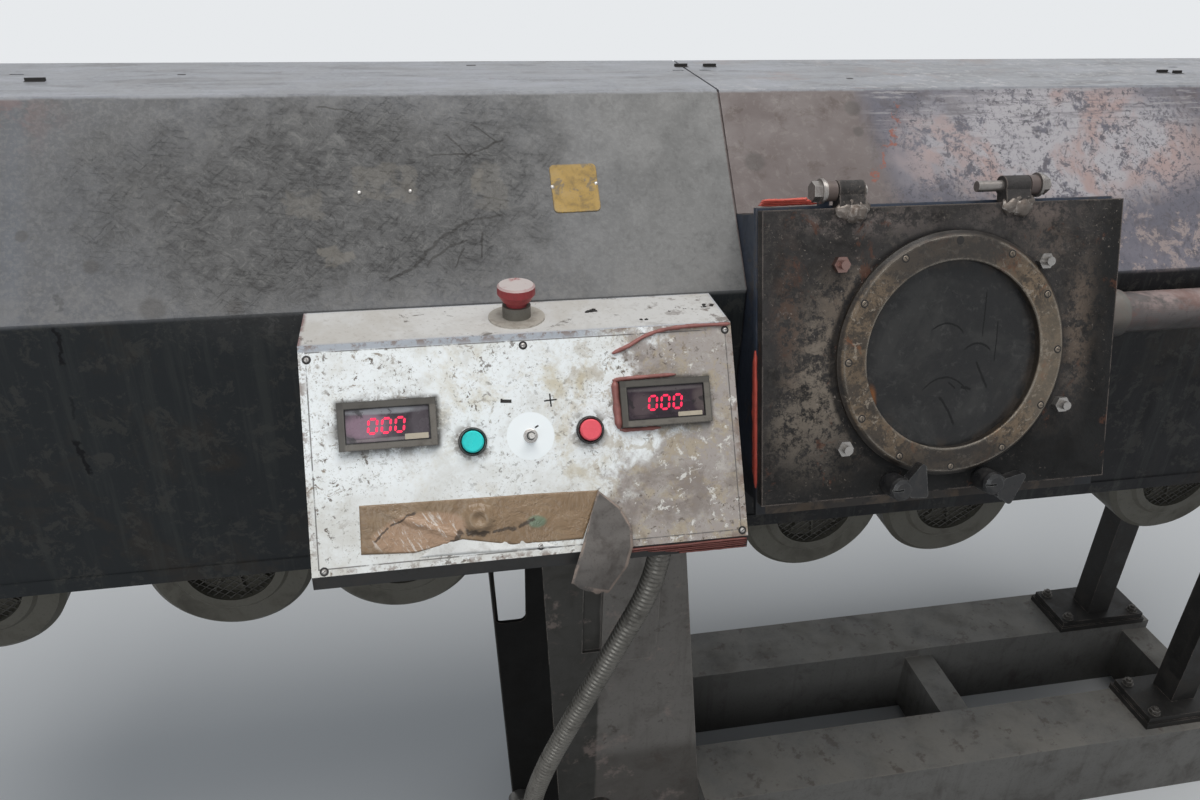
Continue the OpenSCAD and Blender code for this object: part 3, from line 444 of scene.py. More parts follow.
# Hood: grey paint, bright on top; the slope painted darker and the sides near black as painted shade, and
# greasy down its sides
def hood_ground(name, slope_painted_shade, side_painted_shade):
    p = worn(name, (0.228, 0.236, 0.258), (0.12, 0.112, 0.108), 0.4, 0.1, 0.3, 0.0, rough=0.5)
    p.slope = p.mul(p.ramp(p.z, 1.3312, 1.3285), p.ramp(p.z, 1.136, 1.146))
    p.side = p.ramp(p.z, 1.145, 1.137)
    p.top = p.ramp(p.z, 1.3312, 1.3318)
    p.front = p.ramp(p.y, 0.0, -0.02)
    p.put(p.bsdf.inputs["Specular IOR Level"], p.ramp(p.z, 1.136, 1.146, 0.14, 0.35))
    # Painted shade: the slope is laid a darker grey and the sides near black, for light that falls from above
    p.lay(slope_painted_shade, p.slope, 0.95)
    p.lay(side_painted_shade, p.side, 0.98)
    p.lay((0.04, 0.033, 0.027), p.side, p.rag(8, 0.5, 0.66), 0.55)
    p.lay((0.066, 0.064, 0.058), p.side, p.rag(38, 0.53, 0.6, 6, 0.78), 0.45)
    p.lay((0.045, 0.048, 0.046), p.side, p.ramp(p.runs, 0.5, 0.68), 0.5)
    p.lay((0.232, 0.24, 0.264), p.top, 0.75)
    p.lay((0.165, 0.168, 0.182), p.top, p.ramp(p.grit, 0.48, 0.62), 0.4)
    p.lay((0.12, 0.1, 0.095), p.top, p.rag(38, 0.58, 0.64, 6, 0.78), 0.6)
    p.lay((0.34, 0.345, 0.365), p.top, p.rag(120, 0.56, 0.62, 4), 0.4)
    wipe = p.noise(1, 5, 0.7, 0.3, p.place(size=(0.16, 0.035, 1)))
    p.lay((0.315, 0.322, 0.362), p.top, p.ramp(wipe, 0.5, 0.6), 0.6)
    p.lay((0.12, 0.117, 0.122), p.top, p.ramp(wipe, 0.47, 0.38), 0.75)
    p.bumps(p.mul(p.broad, 1.5))
    return p


def hood_spots(p, spots):
    """Round grease spots on the slope: x, y and radius in millimetres."""
    for x, y, r in spots:
        p.lay((0.062, 0.056, 0.052), p.blot(SLOPE, x, y, r, r, 0.3, 0.3, 40), p.slope, 0.5)


def hood_ridge(p):
    """Paint rubbed bright along the fold between slope and top; the brightness is also a painted highlight on
    the fold.
    """
    p.lay((0.34, 0.345, 0.36), p.within(p.z, 1.329, 1.334, 0.0012), p.ramp(p.mottle, 0.42, 0.56), 0.55)


# Two ends and the half width of each scratch
LEFT_SCRATCHES = (
    ((-403, 30), (-374, 43), 1.8),
    ((-376, 42), (-345, 77), 2.4),
    ((-347, 75), (-311, 97), 2.2),
    ((-314, 96), (-270, 104), 1.8),
    ((-360, 45), (-339, 64), 1.6),
    ((-342, 63), (-312, 76), 1.5),
    ((-330, 40), (-318, 66), 1.2),
    ((-300, 50), (-296, 84), 1.2),
    ((-350, 178), (-291, 176), 1.4),
    ((-312, 173), (-262, 196), 1.4),
    ((-330, 205), (-300, 170), 1.2),
    ((-300, 128), (-262, 118), 1.2),
    ((-470, 240), (-425, 232), 1.2),
    ((-300, 216), (-270, 190), 1.0),
)
# Left, right, foot and head of each stain, and its strength
LEFT_STAINS = (
    (-432, -366, 122, 164, 0.5),
    (-304, -266, 108, 166, 0.35),
    (-304, -290, 128, 160, 0.6),
    (-504, -464, 108, 138, 0.45),
    (-470, -438, 51, 68, 0.7),
)
# Two ends, the half width and the strength of each trickle
SIDE_TRICKLES = (
    ((-734, -2), (-736, -48), 3.0, 0.95),
    ((-738, -83), (-742, -112), 1.8, 0.5),
    ((-743, -134), (-740, -183), 3.4, 0.95),
)
RED_SCRAPES = (((232, 240), (220, 189)), ((222, 192), (196, 158)), ((198, 160), (178, 128)))
DAMP_BLACK = (0.004, 0.004, 0.005)


def hood_scrapes(p):
    """The leathery patch of scraped paint left of the console, and the long gouges in it."""
    scraped = p.mul(p.blot(SLOPE, -450, 128, 235, 125, 0.4, 0.55, 8, deep=120), p.front)
    p.lay((0.078, 0.076, 0.074), scraped, 0.8)
    hide = p.noise(58, 7, 0.8, 1.0)
    p.lay((0.042, 0.04, 0.039), scraped, p.ramp(hide, 0.51, 0.58), 0.65)
    p.lay((0.16, 0.156, 0.149), scraped, p.ramp(hide, 0.46, 0.39), 0.6)
    p.bumps(p.mul(scraped, hide, 3.0))
    for turn, size in ((38, 0.0026), (-46, 0.0032), (8, 0.0029)):
        at = p.place(size=(size * 8, size, size), lean=SLOPE.lean, turn=turn)
        cut = p.noise(1, 5, 0.74, 0.25, at)
        line = p.mul(p.ramp(cut, 0.57, 0.65), scraped, p.ramp(p.mottle, 0.4, 0.56))
        p.lay((0.034, 0.033, 0.032), line, 0.45)
        p.lay((0.178, 0.175, 0.168), p.ramp(cut, 0.42, 0.36), scraped, 0.3)
        p.bumps(p.mul(line, -1.2))
    for a, b, half in LEFT_SCRATCHES:
        p.lay((0.03, 0.028, 0.026), p.stroke(SLOPE, a, b, half * 1.15, 0.05, 0.6), 0.85)


def left_hood():
    # The two colours after the name are the painted shade of the slope and of the sides
    p = hood_ground("hood_left_paint", (0.112, 0.113, 0.119), (0.0175, 0.02, 0.0215))
    slope = p.slope
    p.lay((0.158, 0.156, 0.151), slope, p.ramp(p.x, -0.34, -0.05), 0.9)
    p.lay((0.07, 0.068, 0.066), slope, p.rag(62, 0.5, 0.62, 5), 0.3)
    p.lay((0.2, 0.197, 0.194), slope, p.rag(165, 0.54, 0.64, 4), 0.34)
    p.lay((0.098, 0.094, 0.09), slope, p.rag(7, 0.48, 0.66, 5), 0.35)
    p.lay((0.15, 0.168, 0.2), slope, p.within(p.x, -0.785, -0.765, 0.01), 0.25)
    p.lay((0.205, 0.203, 0.2), slope, p.ramp(p.grit, 0.47, 0.62), 0.3)
    reddish = p.mul(slope, p.ramp(p.x, -0.7, -0.8), p.ramp(p.z, 1.27, 1.32), p.rag(30, 0.44, 0.58, 5))
    p.lay((0.21, 0.135, 0.128), reddish, 0.5)
    p.lay((0.205, 0.198, 0.19), slope, p.ramp(p.z, 1.185, 1.146), p.rag(24, 0.42, 0.6, 5), 0.4)
    hood_scrapes(p)
    for x0, x1, y0, y1, k in LEFT_STAINS:
        p.lay((0.17, 0.156, 0.136), p.patch(SLOPE, x0, x1, y0, y1, 2.0, 9.0), p.rag(40, 0.36, 0.5, 5), k)
    hood_spots(p, ((-640, 10, 13), (-700, 60, 8), (-560, 8, 9), (-766, 96, 6), (-610, 120, 7)))
    for a, b, half, k in SIDE_TRICKLES:
        p.lay(DAMP_BLACK, p.stroke(HOOD_SIDE, a, b, half, 0.0, 0.9), p.front, k)
    p.lay(DAMP_BLACK, p.stroke(SLOPE, (-731, 32), (-728, 12), 5.0, 0.0, 0.9), p.front, 0.3)
    hood_ridge(p)
    return p.done(0.0012, 0.5)


def right_hood():
    # The two colours after the name are the painted shade of the slope and of the sides
    p = hood_ground("hood_right_paint", (0.122, 0.117, 0.142), (0.012, 0.012, 0.013))
    slope = p.slope
    height = p.mul(p.calc("SUBTRACT", p.z, 1.23), 0.25)
    brown = p.mul(slope, p.ramp(p.add(p.x, height), 0.225, 0.185))
    p.lay((0.146, 0.117, 0.108), brown, 0.9)
    p.lay((0.092, 0.068, 0.06), brown, p.rag(24, 0.53, 0.62, 5), 0.6)
    p.lay((0.2, 0.172, 0.16), brown, p.rag(95, 0.54, 0.62, 5), 0.5)
    bared = p.mul(slope, p.ramp(p.x, 0.17, 0.22))
    p.lay((0.088, 0.074, 0.078), bared, p.rag(30, 0.5, 0.6, 5), 0.55)
    p.lay((0.185, 0.172, 0.2), bared, p.ramp(p.z, 1.215, 1.155), p.ramp(p.mottle, 0.36, 0.58), 0.6)
    near = p.blot(SLOPE, 452, 172, 200, 88, 0.3, 0.6, 7, deep=100)
    far = p.blot(SLOPE, 900, 150, 300, 70, 0.3, 0.6, 7, deep=100)
    chalky = p.mul(bared, p.most(near, far), p.rag(27, 0.41, 0.47, 8, 0.8, 0.3))
    p.lay((0.4, 0.382, 0.4), chalky, 0.95)
    flecks = p.mul(bared, p.ramp(p.z, 1.25, 1.18), p.rag(27, 0.51, 0.56, 8, 0.8, 0.3))
    p.lay((0.34, 0.275, 0.255), flecks, 0.75)
    pink = p.rag(5.5, 0.48, 0.58, 5, 0.68, 0.5, p.place((0.3, 0, 0)))
    p.lay((0.36, 0.252, 0.232), chalky, pink, 0.85)
    p.lay((0.078, 0.074, 0.088), bared, p.rag(150, 0.54, 0.58, 5, 0.8), p.rag(9, 0.36, 0.55, 5), 0.9)
    p.lay((0.098, 0.091, 0.106), bared, p.rag(44, 0.57, 0.61, 7, 0.8, 0.8), 0.85)
    smear = p.noise(1, 6, 0.74, 0.2, p.place(size=(0.07, 0.02, 0.0055), lean=SLOPE.lean))
    p.lay((0.35, 0.335, 0.34), bared, p.ramp(smear, 0.54, 0.6), p.ramp(p.z, 1.27, 1.31), 0.7)
    p.lay((0.12, 0.112, 0.124), bared, p.ramp(smear, 0.46, 0.4), p.ramp(p.z, 1.25, 1.31), 0.5)
    p.lay((0.168, 0.126, 0.112), bared, p.ramp(p.x, 0.6, 0.72), p.rag(11, 0.42, 0.56, 5), 0.75)
    hood_spots(p, ((33, 159, 12), (169, 228, 10), (66, 90, 8), (172, 196, 7)))
    for a, b in RED_SCRAPES:
        scrape = p.stroke(SLOPE, a, b, 3.2, 0.1, 1.4)
        p.lay((0.25, 0.085, 0.06), scrape, p.rag(70, 0.45, 0.55, 4), p.front, 0.9)
    chips = p.mul(p.rag(60, 0.54, 0.58, 5), p.rag(4, 0.42, 0.58, 4))
    p.lay((0.4, 0.39, 0.4), p.top, chips, 0.8)
    p.lay((0.24, 0.17, 0.15), p.top, p.rag(6, 0.53, 0.62, 5), 0.5)
    hood_ridge(p)
    return p.done(0.0012, 0.5)


# Console: a pale grey case with a dark lip, and a white plate, stained more and more to the right
def console_paint():
    p = worn("console_paint", (0.59, 0.582, 0.568), (0.3, 0.275, 0.245), 0.3, 0.06, 0.35, 0.15, rough=0.5)
    edge = p.edges(0.006, 0.02, 0.2)
    p.lay((0.37, 0.4, 0.46), edge, p.rag(19, 0.3, 0.46), 0.85)
    p.lay((0.22, 0.1, 0.085), edge, p.rag(55, 0.58, 0.64, 5), 0.7)
    p.lay((0.44, 0.405, 0.355), p.rag(7, 0.46, 0.62), 0.4)
    p.lay((0.1, 0.085, 0.07), p.rag(34, 0.6, 0.66, 7, 0.72, 0.8), 0.8)
    p.lay((0.16, 0.13, 0.115), p.ramp(p.x, -0.17, -0.06), p.rag(42, 0.55, 0.6, 6, 0.7, 0), 0.8)
    p.lay((0.17, 0.075, 0.065), p.ramp(p.x, -0.486, -0.4905), p.rag(30, 0.4, 0.55), 0.8)
    lip = p.ramp(p.z, 0.956, 0.946)
    p.lay((0.008, 0.0075, 0.007), lip, 0.97)
    p.lay((0.032, 0.028, 0.025), lip, p.rag(40, 0.52, 0.6), 0.6)
    return p.done(0.0009, 0.5)


# Left, right, foot and head of the grooves around the two meters
METER_GROOVES = ((31, 133, -110, -56.5), (316, 417, -107, -53.5))
# Centre and half sizes of the grime around the controls
CONTROL_GRIME = ((82, -83, 56, 32), (366, -80, 56, 32), (164, -106.5, 20, 20), (284.5, -103.5, 20, 20))


def plate_edge_lines(p, px, pz):
    """The fine line of dirt along each edge of the plate, and its rubbed rim."""
    across = p.within(px, 0.0065, 0.4385, 0.0003)
    up = p.within(pz, -0.2205, -0.0065, 0.0003)
    broken = p.rag(40, 0.66, 0.5, 4)
    for value, lo, hi, long in (
        (px, 0.0065, 0.0077, up),
        (px, 0.4373, 0.4385, up),
        (pz, -0.0077, -0.0065, across),
        (pz, -0.2205, -0.2193, across),
    ):
        p.lay((0.1, 0.095, 0.09), p.within(value, lo, hi, 0.0003), long, broken, 0.9)
    sides = p.most(p.ramp(px, 0.01, 0.0), p.ramp(px, 0.435, 0.445))
    rim = p.most(sides, p.ramp(pz, -0.01, 0.0), p.ramp(pz, -0.217, -0.227))
    p.lay((0.33, 0.36, 0.41), p.ramp(pz, -0.0075, -0.0055), p.ramp(px, 0.34, 0.27), 0.85)
    p.lay((0.2, 0.14, 0.11), rim, p.rag(75, 0.48, 0.58, 6, 0.7, 0), 0.8)


def plate_white():
    p = worn("plate_white", (0.9, 0.93, 0.935), (0.52, 0.49, 0.42), 0.35, 0.04, 0.35, 0.12)
    px, _, pz = p.local(PLATE)
    p.lay((0.6, 0.54, 0.41), p.rag(15, 0.5, 0.66, 7, 0.7, 0.3), p.ramp(px, 0.0, 0.3, 0.25, 0.95))
    p.lay((0.6, 0.575, 0.52), p.ramp(pz, -0.1, -0.2), p.ramp(p.mottle, 0.35, 0.6, 0.3, 0.8), 0.8)
    wander = p.shake(p.noise(18, 6, 0.65), 0.3)
    low = p.mul(p.ramp(pz, -0.07, -0.2), 0.055)
    bare = p.ramp(p.add(p.add(px, low), wander), 0.335, 0.372)
    p.lay((0.335, 0.29, 0.265), bare, 0.92)
    p.lay((0.55, 0.52, 0.48), bare, p.rag(50, 0.55, 0.66, 6, 0.7, 0), 0.6)
    half = p.mul(p.ramp(p.add(px, wander), 0.22, 0.34), p.rag(46, 0.5, 0.6, 7, 0.74, 0.5))
    p.lay((0.42, 0.35, 0.25), half, 0.75)
    soiled = p.rag(9, 0.38, 0.6, 5)
    p.lay((0.12, 0.095, 0.075), p.rag(130, 0.585, 0.635, 5, 0.7, 0.4), soiled)
    p.lay((0.22, 0.165, 0.11), p.rag(52, 0.59, 0.64, 7, 0.78, 0.8), soiled, 0.9)
    p.lay((0.26, 0.23, 0.19), p.rag(330, 0.58, 0.64, 3), p.rag(14, 0.4, 0.6), 0.7)
    p.lay((0.56, 0.54, 0.49), p.rag(24, 0.5, 0.66, 8, 0.76), 0.35)
    p.lay((0.185, 0.15, 0.13), bare, p.rag(12, 0.5, 0.64, 6), 0.65)
    p.lay((0.72, 0.7, 0.66), bare, p.rag(70, 0.58, 0.62, 6, 0.78), 0.9)
    plate_edge_lines(p, px, pz)
    for x, y, w, h in CONTROL_GRIME:
        grime = p.blot(PLATE, x, y, w, h, 0.25, 0.2, 40, deep=30)
        p.lay((0.18, 0.155, 0.13), grime, p.rag(70, 0.42, 0.56, 5), 0.75)
    for x0, x1, y0, y1 in METER_GROOVES:
        groove = p.mul(p.within(px, x0 / 1000, x1 / 1000, 0.003), p.within(pz, y0 / 1000, y1 / 1000, 0.003))
        p.lay((0.05, 0.045, 0.04), groove, p.rag(60, 0.36, 0.5, 6), 0.85)
    p.lay((0.93, 0.97, 0.98), p.blot(PLATE, 223, -105, 24.5, 24.5, 0.03, 0.02, 40, deep=20))
    p.rough = p.ramp(p.mottle, 0.35, 0.7, 0.32, 0.6)
    return p.done(0.0005, 0.5)


# Vent: its box, door, ring, glass and fittings
def box_steel():
    p = worn("box_steel", (0.046, 0.058, 0.084), (0.024, 0.022, 0.022), 0.45, 0.25, 0.3, 0.35, 0.1, 0.5)
    p.lay((0.07, 0.06, 0.052), p.rag(30, 0.55, 0.62), 0.6)
    p.lay((0.2, 0.17, 0.15), p.edges(0.003, 0.03, 0.2), p.rag(19, 0.42, 0.55), 0.6)
    # Painted shade: the box goes near black towards its bottom, under the door
    p.lay((0.01, 0.01, 0.011), p.ramp(p.z, 0.965, 0.925), 0.9)
    p.lay((0.125, 0.092, 0.078), p.ramp(p.z, 1.2535, 1.2555), 0.85)
    inside = p.mul(p.within(p.x, 0.0025, 0.3995, 0.0005), p.within(p.z, 0.9, 1.24, 0.004))
    p.lay((0.03, 0.024, 0.02), inside, 0.85)
    p.lay((0.085, 0.062, 0.044), inside, p.rag(12, 0.48, 0.6), 0.8)
    p.lay((0.01, 0.009, 0.008), inside, p.rag(50, 0.56, 0.62, 5), 0.7)
    return p.done(0.0008, 0.5)


# Centre, half sizes, colour and strength of each patch of rubbed or rusty scale
DOOR_PATCHES = (
    (75, -190, 42, 95, (0.19, 0.16, 0.13), 0.85),
    (98, -105, 34, 40, (0.15, 0.12, 0.095), 0.75),
    (392, -135, 24, 75, (0.15, 0.115, 0.09), 0.75),
    (120, -14, 70, 16, (0.15, 0.125, 0.115), 0.7),
    (320, -12, 60, 14, (0.14, 0.112, 0.1), 0.7),
    (95, -262, 60, 30, (0.115, 0.098, 0.084), 0.65),
    (352, -276, 46, 20, (0.115, 0.095, 0.08), 0.6),
    (60, -236, 40, 30, (0.16, 0.135, 0.11), 0.7),
    (30, -110, 16, 60, (0.09, 0.055, 0.04), 0.6),
    (345, -45, 30, 22, (0.12, 0.095, 0.08), 0.6),
    (262, -20, 30, 12, (0.085, 0.075, 0.07), 0.6),
)


def door_scale():
    p = worn(
        "door_scale", (0.036, 0.033, 0.032), (0.013, 0.012, 0.011), 0.65, 0.25, 0.35, 0.4,
        metallic=0.1, rough=0.68, shine=0.2,
    )
    p.lay((0.058, 0.053, 0.049), p.rag(70, 0.52, 0.6, 7, 0.78), 0.4)
    for x, y, w, h, colour, k in DOOR_PATCHES:
        area = p.blot(HATCH, x, y, w, h, 0.7, 0.8, 16)
        p.lay(shade(colour, 1.12), area, p.rag(64, 0.43, 0.57, 6, 0.8, 0.1), min(1, k * 1.2))
    p.lay((0.092, 0.08, 0.07), p.rag(130, 0.52, 0.6, 5, 0.75), p.rag(9, 0.4, 0.6, 4), 0.55)
    # Painted shadow of the sight ring: a thin dark band on the door just round the ring's outer edge
    p.lay((0.008, 0.007, 0.007), p.blot(HATCH, 221, -170, 144.5, 144.5, 0.022, 0.004, 14, deep=300), 0.9)
    p.lay((0.008, 0.008, 0.008), p.blot(HATCH, 300, -330, 280, 90, 0.5, 0.4, 10, deep=60), 0.95)
    p.lay((0.009, 0.009, 0.009), p.blot(HATCH, 425, -190, 32, 200, 0.5, 0.4, 10, deep=60), 0.88)
    sparse = p.rag(6, 0.42, 0.62, 4)
    p.lay((0.14, 0.116, 0.102), p.rag(95, 0.6, 0.65, 6, 0.76, 0.6), sparse, 0.7)
    p.lay((0.1, 0.046, 0.03), p.rag(20, 0.59, 0.66, 7, 0.74, 0.8), 0.7)
    p.lay((0.28, 0.24, 0.21), p.rag(240, 0.64, 0.68, 3), sparse, 0.7)
    p.lay((0.22, 0.185, 0.165), p.edges(0.003, 0.02, 0.15), p.rag(19, 0.4, 0.52), 0.8)
    p.bumps(p.mul(p.noise(48, 8, 0.74, 0.4), 1.5))
    return p.done(0.0018, 0.7)


def ring_steel():
    p = worn("ring_steel", (0.165, 0.12, 0.08), (0.036, 0.029, 0.024), 0.75, 0.25, 0.35, 0.15, 0.2, 0.55)
    p.lay((0.044, 0.037, 0.031), p.rag(26, 0.47, 0.57, 7, 0.8, 0.3), 0.85)
    p.lay((0.03, 0.026, 0.022), p.rag(80, 0.52, 0.58, 6, 0.8, 0.1), 0.7)
    p.lay((0.17, 0.072, 0.034), p.rag(17, 0.57, 0.63, 7, 0.72, 0.7, p.place((0.2, 0.1, 0))), 0.8)
    p.lay((0.29, 0.245, 0.195), p.rag(110, 0.57, 0.62, 5), 0.8)
    p.lay((0.036, 0.032, 0.029), p.blot(HATCH, 205, -45, 110, 45, 0.5, 0.5), 0.85)
    p.lay((0.028, 0.025, 0.023), p.blot(HATCH, 240, -300, 110, 35, 0.4, 0.4), 0.8)
    p.lay((0.2, 0.165, 0.125), p.blot(HATCH, 345, -190, 35, 80, 0.4, 0.4), 0.5)
    p.lay((0.3, 0.27, 0.23), p.edges(0.004, 0.015, 0.1), p.rag(19, 0.38, 0.54), 0.85)
    # Painted shade on the ring's side walls within about 8 mm of the door: its outer side and the inner wall
    # by the glass
    _, deep, _ = p.local(HATCH)
    p.lay((0.012, 0.01, 0.009), p.ramp(deep, -0.0085, -0.0065), 0.85)
    p.bumps(p.mul(p.noise(60, 7, 0.74), 1.2))
    return p.done(0.0011, 0.7)


# Two ends, half width and bend of each mark on the glass
GLASS_MARKS = (
    ((200, -128), (242, -134), 1.5, 0.5),
    ((240, -155), (276, -157), 1.9, 0.5),
    ((266, -95), (263, -150), 1.1, 0.0),
    ((282, -130), (279, -180), 1.0, 0.0),
    ((190, -190), (250, -195), 1.5, 0.6),
    ((256, -175), (272, -210), 1.7, 0.0),
    ((213, -212), (234, -250), 2.0, 0.1),
    ((223, -198), (232, -207), 1.3, 0.0),
    ((238, -205), (252, -208), 2.0, 0.1),
)


def sight_pane():
    p = worn(
        "sight_pane", (0.018, 0.018, 0.0185), (0.036, 0.034, 0.032), 0.5, 0.25, 0.15, 0.2,
        rough=0.34, shine=0.25,
    )
    p.lay((0.05, 0.049, 0.047), p.rag(13, 0.46, 0.62, 7, 0.72, 0.5), 0.5)
    p.lay((0.075, 0.073, 0.07), p.rag(90, 0.56, 0.64, 6), 0.35)
    for a, b, half, bend in GLASS_MARKS:
        p.lay((0.002, 0.002, 0.002), p.stroke(HATCH, a, b, half, bend), 0.97)
    p.lay((0.26, 0.1, 0.03), p.blot(HATCH, 128, -212, 6, 14, 0.5, 0.4, 50, deep=20), 0.8)
    clear = p.blot(HATCH, 224, -167, 100, 100, 0.08, 0.08, 20, deep=200, out=8)
    p.lay((0.06, 0.047, 0.038), p.calc("SUBTRACT", 1.0, clear), p.rag(25, 0.45, 0.6), 0.6)
    return p.done(0.0003, 0.4)


def stud_steel():
    p = worn("stud_steel", (0.34, 0.325, 0.31), (0.06, 0.05, 0.042), 0.6, 0.1, 0.3, 0.0, 0.8, 0.36, 3)
    p.lay((0.2, 0.09, 0.07), p.blot(HATCH, 88, -60, 20, 20, 0.1, 0.0), 0.75)
    return p.done(0.0005, 0.5)


def pipe_steel():
    p = worn("pipe_steel", (0.135, 0.118, 0.115), (0.04, 0.034, 0.032), 0.6, 0.15, 0.35, 0.0, 0.25, 0.5)
    # Upward faces are laid pinkish white in patches: dust, and also a painted highlight along the top
    p.lay((0.33, 0.25, 0.235), p.facing((0, 0, 1), 0.2, 0.9), p.rag(14, 0.4, 0.55), 0.75)
    p.lay((0.15, 0.075, 0.06), p.rag(6, 0.5, 0.58, 6, 0.7, 0.3, p.place((0.1, 0, 0))), 0.6)
    p.lay((0.155, 0.158, 0.14), p.ramp(p.x, 0.47, 0.466), 0.6)
    # Painted shade on the pipe's lower side, darkest where it faces down
    p.lay((0.02, 0.018, 0.017), p.facing((0, 0, -1), -0.35, 0.6), 0.85)
    return p.done(0.0008, 0.5)


# Supports
def pedestal_paint():
    p = worn("pedestal_paint", (0.225, 0.208, 0.19), (0.085, 0.073, 0.063), 0.5, 0.15, 0.35, 0.35)
    p.lay((0.075, 0.066, 0.058), p.ramp(p.z, 0.27, 0.235), 0.75)
    # Painted shade on the pedestal's left flank
    flank = p.add(p.x, p.shake(p.noise(10, 4), 0.01))
    p.lay((0.03, 0.029, 0.025), p.ramp(flank, -0.128, -0.133), 0.9)
    p.lay((0.085, 0.07, 0.06), p.rag(28, 0.585, 0.64, 7, 0.72, 0.5), 0.7)
    p.lay((0.33, 0.26, 0.23), p.rag(13, 0.57, 0.66, 6, 0.7, 0), 0.5)
    p.lay((0.36, 0.32, 0.29), p.edges(0.003, 0.03, 0.2), p.ramp(p.mottle, 0.42, 0.54), 0.7)
    return p.done(0.001, 0.5)


def beam_paint():
    p = worn("beam_paint", (0.16, 0.155, 0.145), (0.06, 0.05, 0.044), 0.45, 0.12, 0.3, 0.3)
    upward = p.facing((0, 0, 1), 0.5, 0.9)
    p.lay((0.24, 0.225, 0.2), upward, p.rag(9, 0.3, 0.6, 7, 0.7, 0), 0.7)
    p.lay((0.08, 0.06, 0.05), upward, p.rag(30, 0.56, 0.64, 7, 0.7, 0), 0.6)
    p.lay((0.3, 0.26, 0.23), p.edges(0.004, 0.03, 0.2), p.ramp(p.mottle, 0.44, 0.56), 0.6)
    return p.done(0.0012, 0.5)


def column_black():
    dirt, wear = (0.016, 0.014, 0.012), (0.1, 0.08, 0.066)
    base = (0.006, 0.0058, 0.0055)
    return plain("column_black", base, 0.0, 0.65, dirt, 0.3, 0.2, 0.2, wear=wear, shine=0.1)


def leg_black():
    dirt, wear = (0.06, 0.052, 0.045), (0.22, 0.18, 0.16)
    return plain("leg_black", (0.02, 0.019, 0.018), 0.0, 0.55, dirt, 0.4, 0.3, 0.25, wear=wear, shine=0.25)


def saddle_paint():
    dirt, wear = (0.04, 0.035, 0.03), (0.24, 0.22, 0.2)
    return plain("saddle_paint", (0.11, 0.105, 0.1), 0.0, 0.6, dirt, 0.5, 0.3, 0.2, wear=wear)


# Barrel unit
def barrel_steel():
    dirt, wear = (0.075, 0.055, 0.04), (0.4, 0.36, 0.32)
    return plain("barrel_steel", (0.23, 0.2, 0.175), 0.75, 0.45, dirt, 0.6, 0.3, 0.1, wear=wear)


def screw_steel():
    dirt, wear = (0.14, 0.09, 0.05), (0.7, 0.68, 0.64)
    return plain("screw_steel", (0.5, 0.47, 0.43), 0.9, 0.28, dirt, 0.5, 0.25, 0.0, wear=wear, scale=2)


def jacket_sheet():
    dirt, wear = (0.07, 0.055, 0.045), (0.36, 0.33, 0.3)
    return plain("jacket_sheet", (0.2, 0.195, 0.185), 0.45, 0.5, dirt, 0.5, 0.3, 0.3, wear=wear)


def blower_olive():
    dirt, wear = (0.038, 0.033, 0.028), (0.19, 0.18, 0.155)
    return plain("blower_olive", (0.102, 0.096, 0.078), 0.0, 0.55, dirt, 0.5, 0.35, 0.2, wear=wear)


# Vent fittings and controls
def pin_steel():
    dirt, wear = (0.07, 0.04, 0.03), (0.5, 0.48, 0.45)
    return plain("pin_steel", (0.27, 0.25, 0.235), 0.7, 0.38, dirt, 0.65, 0.35, 0, scale=3, wear=wear)


def knob_black():
    # The pale rubbed edges are wear, and their brightness is also a painted highlight on the knobs
    return plain(
        "knob_black", (0.014, 0.014, 0.015), 0.0, 0.38, (0.045, 0.041, 0.038), 0.45, 0.35, 0,
        scale=3, wear=(0.17, 0.17, 0.165), wear_r=0.0016, shine=0.4,
    )


# Upper left corner of each meter on the plate
METERS = ((34, -59), (318, -56))


def meter_case():
    grime = (0.05, 0.046, 0.04)
    p = worn("meter_case", (0.155, 0.14, 0.12), (0.06, 0.052, 0.044), 0.5, 0.1, 0.35, 0.0, 0.0, 0.45, 3)
    p.lay((0.022, 0.02, 0.018), p.edges(0.0022, 0.02, 0.15), p.rag(57, 0.3, 0.42), 0.9)
    for x, y in METERS:
        p.lay(grime, p.patch(PLATE, x - 5, x + 101, y - 7, y + 9, 1), 0.65)
        p.lay(grime, p.patch(PLATE, x - 5, x + 6, y - 53, y + 9, 1), 0.65)
        p.lay((0.012, 0.011, 0.01), p.patch(PLATE, x + 6.5, x + 89.5, y - 41.5, y - 6.5, 0.4), 0.9)
    return p.done(0.0003, 0.4)


def bezel_black():
    return plain(
        "bezel_black", (0.035, 0.036, 0.036), 0.2, 0.36, (0.09, 0.08, 0.07), 0.4, 0.3, 0.0,
        scale=4, wear=(0.45, 0.45, 0.43), wear_r=0.001,
    )


def button_green():
    dirt = (0.03, 0.34, 0.3)
    return plain("button_green", (0.025, 0.7, 0.68), 0.0, 0.35, dirt, 0.35, 0.25, 0.0, scale=4, bump=0.0002)


def button_red():
    dirt = (0.72, 0.08, 0.1)
    return plain("button_red", (0.96, 0.13, 0.165), 0.0, 0.35, dirt, 0.3, 0.2, 0.0, scale=4, bump=0.0002)


def shaft_steel():
    return plain("shaft_steel", (0.6, 0.58, 0.55), 0.85, 0.3, (0.22, 0.18, 0.15), 0.5, 0.3, 0.0, scale=4)


def collar_grey():
    p = worn("collar_grey", (0.15, 0.14, 0.12), (0.07, 0.06, 0.05), 0.5, 0.1, 0.35, 0.1, 0.2, 0.5, 3)
    foot = p.ramp(p.z, 1.1425, 1.1418)
    p.lay((0.5, 0.465, 0.41), foot)
    p.lay((0.24, 0.2, 0.165), foot, p.rag(90, 0.5, 0.6, 5, 0.7, 0), 0.5)
    return p.done(0.0004, 0.4)


